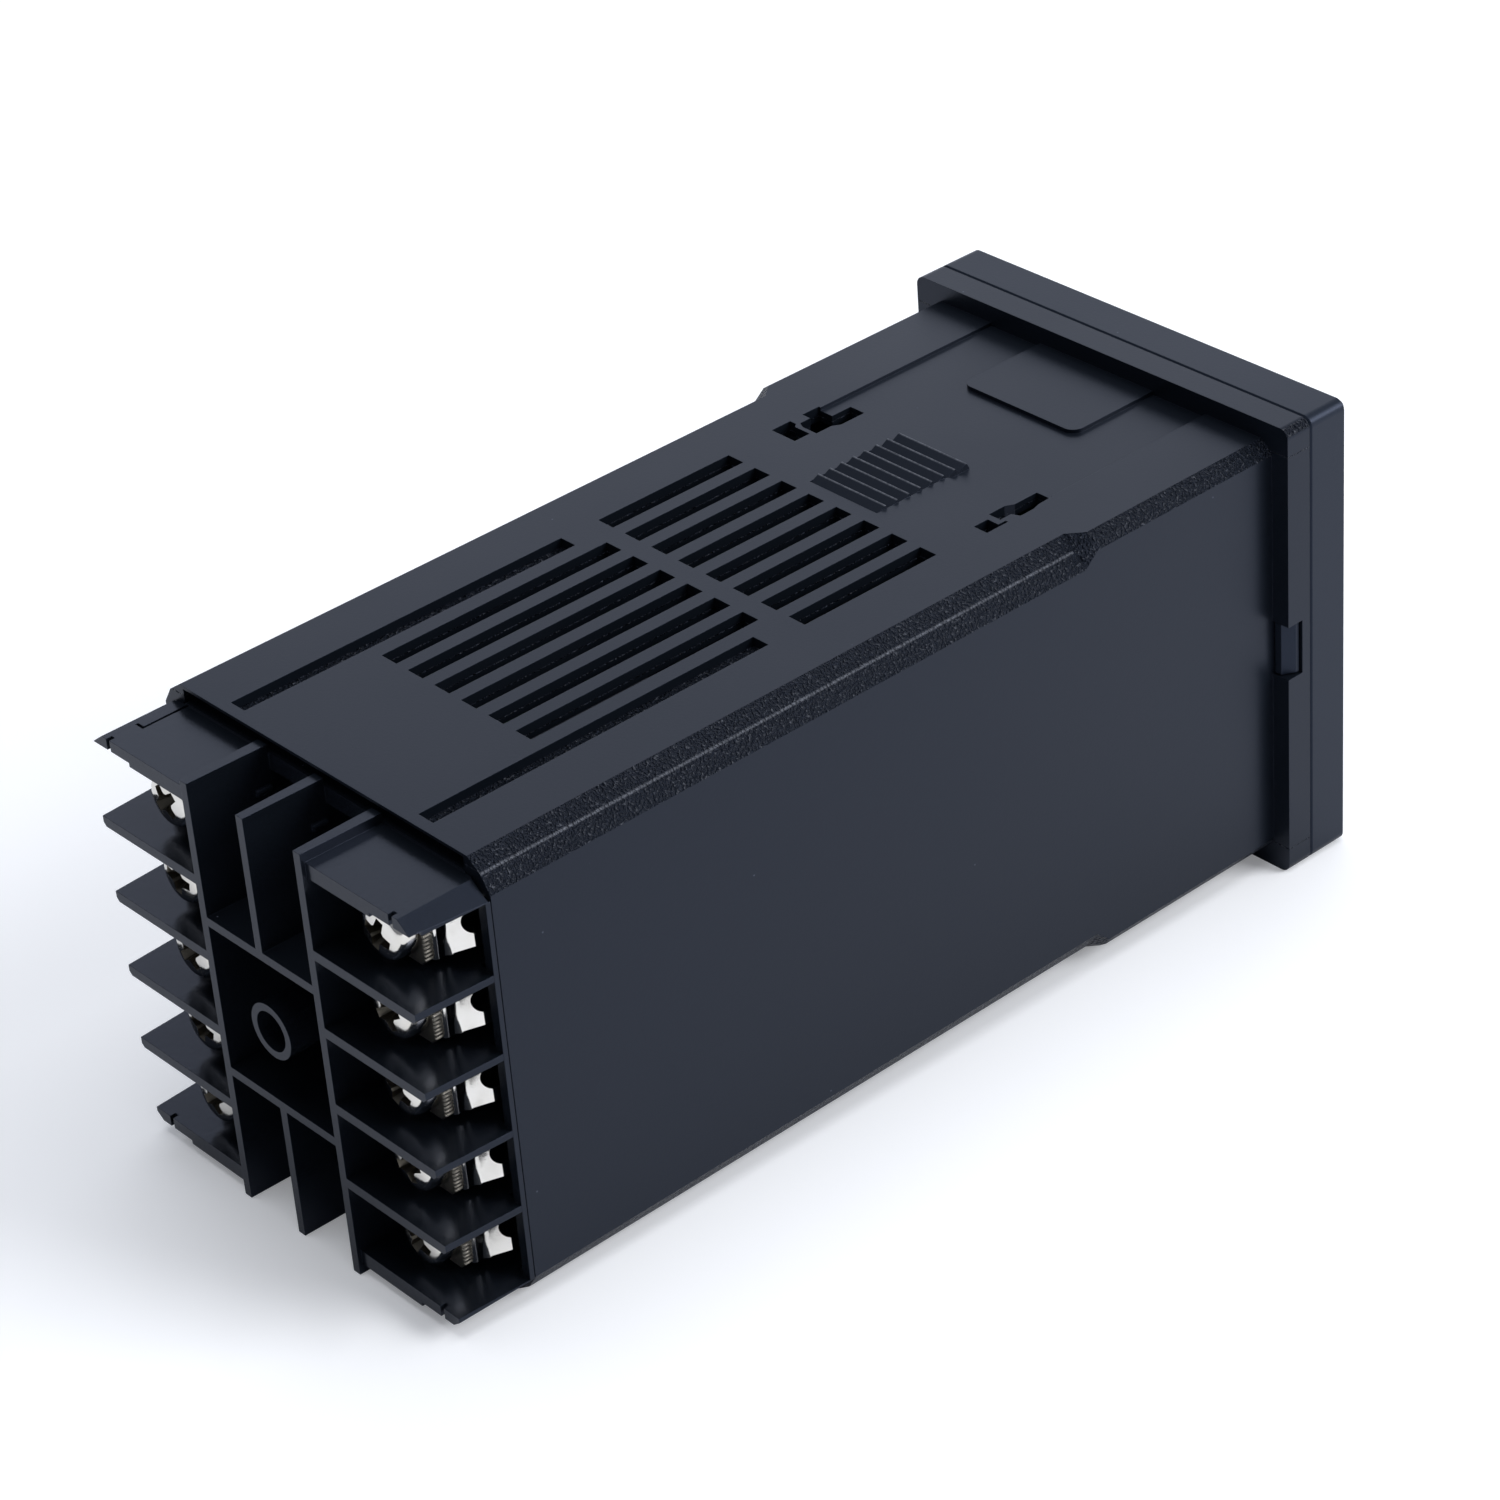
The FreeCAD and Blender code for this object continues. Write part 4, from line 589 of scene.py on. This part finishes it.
BORE_RADIUS = 1.56
WASHER_THICK = 0.9
WASHER_HALF = 3.05
WASHER_CUT = 0.6
RIDGES = 13
RIDGE_DEPTH = 0.1
BORE_BREAK = 0.08
EDGE_BREAK = 0.09


def clamp_washer():
    """Rings round the section of a square washer with cut corners: bore, face, broken edges and
    back. The edge along +x goes in and out by a cosine wave 0.1 mm deep per ridge."""
    half, flat = WASHER_HALF, WASHER_HALF - WASHER_CUT
    z = np.linspace(-flat, flat, 10 * RIDGES + 1)
    wave = RIDGE_DEPTH / 2 * (1 - np.cos(2 * np.pi * RIDGES * (z - z[0]) / (z[-1] - z[0])))
    ridged = np.stack([half - wave, z], axis=1)
    rest = np.array([(flat, half), (-flat, half), (-half, flat), (-half, -flat), (-flat, -half),
                     (flat, -half)])
    starts, ends = np.vstack([ridged[-1:], rest]), np.vstack([rest, ridged[:1]])
    steps = np.linspace(0, 1, 8, endpoint=False)[None, :, None]
    straight = (starts[:, None] + (ends - starts)[:, None] * steps).reshape(-1, 2)
    outline = np.concatenate([ridged[:-1], straight])
    away = outline / np.linalg.norm(outline, axis=1, keepdims=True)
    bore, mouth, inside = away * BORE_RADIUS, away * (BORE_RADIUS + BORE_BREAK), outline - away * EDGE_BREAK
    section = [(bore, BORE_BREAK), (bore, WASHER_THICK - BORE_BREAK), (mouth, WASHER_THICK),
               (inside, WASHER_THICK), (outline, WASHER_THICK - EDGE_BREAK), (outline, EDGE_BREAK),
               (inside, 0.0), (mouth, 0.0)]
    return np.array([np.hstack([ring, np.full((len(ring), 1), height)]) for ring, height in section])


def rounded_path(corners, reaches):
    """Polyline whose inner corners are rounded by a parabola between the points one reach
    before and after each corner, with the corner as its control point."""
    corners = np.asarray(corners, float)
    t = np.linspace(0, 1, 9)[:, None]
    points = [corners[:1]]
    for before, corner, after, reach in zip(corners, corners[1:], corners[2:], reaches):
        a = corner + (before - corner) / np.linalg.norm(before - corner) * reach
        b = corner + (after - corner) / np.linalg.norm(after - corner) * reach
        points.append((1 - t) ** 2 * a + 2 * t * (1 - t) * corner + t ** 2 * b)
    points.append(corners[-1:])
    return np.concatenate(points)


def holed_patch(low, high, half_low, half_high, centre, radius, rings):
    """Flat patch of a strip with a round hole: straight spokes run from the hole's edge to 80
    points spaced along the patch's four sides, with rings closer together near the hole."""
    corners = np.array([(low, -half_low), (high, -half_high), (high, half_high), (low, half_low),
                        (low, -half_low)])
    t = np.linspace(0, 1, SIDE_STEPS, endpoint=False)[None, :, None]
    outer = (corners[:-1, None] + np.diff(corners, axis=0)[:, None] * t).reshape(-1, 2)
    spokes = outer - [centre, 0]
    inner = [centre, 0] + radius * spokes / np.linalg.norm(spokes, axis=1, keepdims=True)
    steps = np.linspace(0, 1, rings)[:, None, None] ** 1.5
    points = inner + (outer - inner) * steps
    return points.reshape(-1, 2), grid_faces(rings, AROUND, True)


def strip_patch(stations, halves):
    """Flat patch without a hole: 21 points across at each station along the strip."""
    columns = SIDE_STEPS + 1
    s = np.repeat(np.asarray(stations, float)[:, None], columns, axis=1)
    across = np.asarray(halves, float)[:, None] * np.linspace(-1, 1, columns)
    return np.stack([s, across], axis=-1).reshape(-1, 2), grid_faces(len(stations), columns, False)


# The terminal plate's outer face from the side, as x and y from the seat's inner end to the
# tail's tip, how far each bend's round reaches, and the y of what lies along it.
PLATE_PATH = [(10.9, 103.0), (17.6, 103.0), (17.6, 101.45), (18.95, 99.5), (18.8, 98.2), (18.8, 89.4)]
PLATE_REACHES = (0.45, 0.25, 0.5, 0.1)
BEND_Y, FLARE_Y, LEG_HOLE_Y, LEG_END_Y = 101.9, 101.2, 99.55, 98.1
PLATE_THICK = 0.8
SEAT_LENGTH, SEAT_HOLE_AT, SEAT_HALF = 6.5, 3.6, 2.8
LEG_HALF, LEG_END_HALF, LEG_HOLE_RADIUS = 2.6, 2.0, 1.15
TAIL_HALF, TAIL_NECK, TAIL_STEP = 1.5, 0.3, 3
# The dish's depth over z squared, and the lengths over which it starts and ends.
DISH, DISH_START, DISH_END = 0.05, 0.45, 0.4
# How the strip narrows over the last stations before the leg.
NARROWING = [2.78, 2.72, 2.66, LEG_HALF]


def terminal_plate():
    """Pressed plate 0.8 mm thick about the bay's level: the seat with its threaded hole, a bend
    down, a slightly dished leg that flares outwards past a punched hole, and a tail. Flat
    patches are welded, laid on the bent path and given their thickness inwards; an edge that
    only one quad uses gets a wall between the two faces. The leg's face stands out by 0.05 z
    squared, so that its middle is the lowest."""
    path = rounded_path(PLATE_PATH, PLATE_REACHES)
    length = np.concatenate([[0], np.cumsum(np.linalg.norm(np.diff(path, axis=0), axis=1))])
    bend, flare, hole, leg_end = (np.interp(-y, -path[:, 1], length)
                                  for y in (BEND_Y, FLARE_Y, LEG_HOLE_Y, LEG_END_Y))
    patches = [
        holed_patch(0.0, SEAT_LENGTH, SEAT_HALF, SEAT_HALF, SEAT_HOLE_AT, BORE_RADIUS, 7),
        strip_patch(np.linspace(SEAT_LENGTH, flare, 17), [SEAT_HALF] * 13 + NARROWING),
        holed_patch(flare, leg_end, LEG_HALF, LEG_END_HALF, hole, LEG_HOLE_RADIUS, 12),
        strip_patch([leg_end, leg_end + TAIL_NECK, leg_end + TAIL_STEP, length[-1]],
                    [LEG_END_HALF] + [TAIL_HALF] * 3),
    ]
    firsts = np.cumsum([0] + [len(points) for points, _ in patches[:-1]])
    flat = np.concatenate([points for points, _ in patches])
    quads = np.concatenate([faces + first for (_, faces), first in zip(patches, firsts)])
    flat, index = np.unique(np.round(flat, 4), axis=0, return_inverse=True)
    quads = index.reshape(-1)[quads]
    spot, ahead, behind = (
        np.stack([np.interp(flat[:, 0] + step, length, path[:, i]) for i in (0, 1)], axis=1)
        for step in (0, 0.04, -0.04))
    along = (ahead - behind) / np.linalg.norm(ahead - behind, axis=1, keepdims=True)
    inward = np.stack([along[:, 1], -along[:, 0]], axis=1)
    starts = np.clip((flat[:, 0] - bend) / DISH_START, 0, 1)
    ends = np.clip((leg_end - flat[:, 0]) / DISH_END, 0, 1)
    spot = spot - inward * (DISH * starts * ends * flat[:, 1] ** 2)[:, None]
    outer = np.column_stack([spot, flat[:, 1]])
    inner = np.column_stack([spot + PLATE_THICK * inward, flat[:, 1]])
    n = len(flat)
    edges = np.stack([quads, np.roll(quads, -1, axis=1)], axis=-1).reshape(-1, 2)
    keys, counts = np.unique(np.sort(edges, axis=1) @ [n, 1], return_counts=True)
    rim = edges[np.isin(np.sort(edges, axis=1) @ [n, 1], keys[counts == 1])]
    walls = np.stack([rim[:, 1], rim[:, 0], rim[:, 0] + n, rim[:, 1] + n], axis=1)
    return np.concatenate([outer, inner]), quads.tolist() + (quads[:, ::-1] + n).tolist() + walls.tolist()


def smooth_by_angle(obj, degrees):
    """Smooth shading over edges that turn less than this angle."""
    obj.data.polygons.foreach_set("use_smooth", [True] * len(obj.data.polygons))
    obj.data.set_sharp_from_angle(angle=math.radians(degrees))


def mirrored(points, faces, side, level):
    """Points (x, y, z) about a bay's level on one side of the block and faces in the order that
    keeps them outwards."""
    moved = points * [side, 1, 1] + [0, 0, level]
    return moved, faces if side > 0 else [face[::-1] for face in faces]


WASHER_FACE = 103.9
TERMINAL_X = 14.5
TOP_BAY_LEVEL, BAY_PITCH, BAYS = 15.4, 7.85, 5
BAY_LEVELS = [TOP_BAY_LEVEL - row * BAY_PITCH for row in range(BAYS)]
# Every screw stopped at its own turn when it was driven home: the first one's and the step.
FIRST_TURN, NEXT_TURN = 0.9, 2.4
SCREW_SMOOTH, PRESSED_SMOOTH = 32, 35

head_points, head_faces = closed_rings(pan_head()[::-1])
# The head's faces end with the recess: its walls, then the fan at the core's tip and the floor's.
in_recess = np.zeros(len(head_faces), int)
in_recess[-(len(RECESS_RINGS) + 2) * AROUND:-2 * AROUND] = 1
in_recess[-AROUND:] = 1
ridge_points, ridge_faces = closed_rings(thread_ridge())
washer_points, washer_faces = looped_rings(clamp_washer())
washer_points = washer_points[:, [0, 2, 1]] + [TERMINAL_X, WASHER_FACE - WASHER_THICK, 0]
plate_points, plate_faces = terminal_plate()
for index in range(2 * BAYS):
    side, level = (1 if index < BAYS else -1), BAY_LEVELS[index % BAYS]
    turn = FIRST_TURN + NEXT_TURN * index
    spin = np.array([[math.cos(turn), -math.sin(turn)], [math.sin(turn), math.cos(turn)]])
    points, faces = [], []
    for local, shell in ((head_points, head_faces), (ridge_points, ridge_faces)):
        across = local[:, :2] @ spin.T
        faces += [[corner + len(points) for corner in face[::-1]] for face in shell]
        points += np.stack([side * TERMINAL_X + across[:, 0], WASHER_FACE + local[:, 2],
                            level + across[:, 1]], axis=1).tolist()
    screw = new_piece(f"pan_head_screw_{index + 1}", points, faces, screw_nickel,
                      f"screw_{index + 1}")
    smooth_by_angle(screw, SCREW_SMOOTH)
    # The recess faces take the darker nickel, which paints shade into the recess.
    screw.data.materials.append(shaded_recess_nickel)
    screw.data.polygons.foreach_set("material_index", in_recess.tolist() + [0] * len(ridge_faces))
    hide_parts(f"terminal_screw_{index + 1}")
    for name, shape, finish, body, slot, old in (
            ("ridged_washer", (washer_points, washer_faces), washer_nickel,
             f"washer_{index + 1}", "plated_washer", "clamp_washer"),
            ("bent_plate", (plate_points, plate_faces), plate_nickel,
             "housing", "plated_terminal", "terminal_plate")):
        points, faces = mirrored(*shape, side, level)
        piece = new_piece(f"{name}_{index + 1}", points, faces, finish, body)
        smooth_by_angle(piece, PRESSED_SMOOTH)
        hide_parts(f"{old}_{index + 1}")

# Pale sweep under the part: a plane through one point under the front frame that rises slightly
# towards the back, so that it passes below the frame's lower edge and the case's rear edge.
REST_Y, REST_Z = 8.1, -24.0
FLOOR_SLOPE = 1.8 / 91.9
FLOOR_REACH = 1500.0
sweep, tree, out, _ = new_material("pale_paper_sweep")
paper = add(tree, "ShaderNodeBsdfDiffuse", {"Color": linear("#f2f4f8")})
glow = add(tree, "ShaderNodeEmission", {"Color": linear("#fbfcff"), "Strength": 0.2})
seen = add(tree, "ShaderNodeLightPath")
direct = add(tree, MATH, {0: seen.outputs["Is Camera Ray"], 1: seen.outputs["Is Transmission Ray"]},
             operation="MAXIMUM")
both = add(tree, "ShaderNodeAddShader", {0: paper.outputs[0], 1: glow.outputs[0]})
mixed = add(tree, "ShaderNodeMixShader", {"Fac": direct.outputs[0], 1: paper.outputs[0],
                                          2: both.outputs[0]})
tree.links.new(mixed.outputs[0], out.inputs["Surface"])
corners = [(x * FLOOR_REACH, y * FLOOR_REACH, REST_Z + FLOOR_SLOPE * (y * FLOOR_REACH - REST_Y))
           for x, y in ((-1, -1), (1, -1), (1, 1), (-1, 1))]
floor_mesh = bpy.data.meshes.new("paper_floor")
floor_mesh.from_pydata([place(*corner) for corner in corners], [], [(0, 1, 2, 3)])
floor_mesh.materials.append(sweep)
floor = bpy.data.objects.new("paper_floor", floor_mesh)
bpy.context.collection.objects.link(floor)

# A dim room lights the part, and the camera sees it white.
world = bpy.data.worlds.new("studio")
bpy.context.scene.world = world
world.use_nodes = True
tree = world.node_tree
tree.nodes.clear()
out = tree.nodes.new("ShaderNodeOutputWorld")
room = add(tree, "ShaderNodeBackground", {"Color": linear("#eaf0fc"), "Strength": 0.25})
white = add(tree, "ShaderNodeBackground", {"Color": linear("#fdfdff"), "Strength": 1.0})
seen = add(tree, "ShaderNodeLightPath")
mixed = add(tree, "ShaderNodeMixShader", {"Fac": seen.outputs["Is Camera Ray"], 1: room.outputs[0],
                                          2: white.outputs[0]})
tree.links.new(mixed.outputs[0], out.inputs["Surface"])


def softbox(name, at, towards, width, height, power, tint="#ffffff"):
    """Rectangular lamp in metres that faces a point."""
    lamp = bpy.data.lights.new(name, "AREA")
    lamp.shape = "RECTANGLE"
    lamp.size = width
    lamp.size_y = height
    lamp.energy = power
    lamp.color = linear(tint)[:3]
    obj = bpy.data.objects.new(name, lamp)
    obj.location = at
    obj.rotation_euler = (Vector(towards) - Vector(at)).to_track_quat("-Z", "Y").to_euler()
    bpy.context.collection.objects.link(obj)


softbox("far_softbox", (0.86, -0.72, 0.46), (0, 0, 0.03), 1.6, 0.8, 3.8, "#eef3ff")
softbox("key_softbox", (-0.88, -0.68, 0.70), (0, 0, 0.02), 0.7, 0.7, 12.4)
softbox("overhead_softbox", (0.0, -0.1, 1.4), (0, 0, 0.02), 1.2, 1.2, 10.5)

# Camera by turn round the part, height angle and roll about its own line of sight.
AZIMUTH, ELEVATION, ROLL = (math.radians(angle) for angle in (230.2594, 32.5507, -4.5777))
EYE = (-0.26688, 0.221373, 0.247133)
back = Vector((math.sin(AZIMUTH) * math.cos(ELEVATION), -math.cos(AZIMUTH) * math.cos(ELEVATION),
               math.sin(ELEVATION)))
level_right = Vector((math.cos(AZIMUTH), math.sin(AZIMUTH), 0))
level_up = back.cross(level_right)
right = level_right * math.cos(ROLL) + level_up * math.sin(ROLL)
up = back.cross(right)
camera = bpy.data.cameras.new("photo_camera")
camera.sensor_width = 36
camera.lens = 109.30
camera.clip_start = 0.01
camera.clip_end = 20
eye = bpy.data.objects.new("photo_camera", camera)
eye.matrix_world = Matrix.Translation(EYE) @ Matrix((right, up, back)).transposed().to_4x4()
bpy.context.collection.objects.link(eye)
scene = bpy.context.scene
scene.camera = eye
scene.view_settings.view_transform = "Standard"
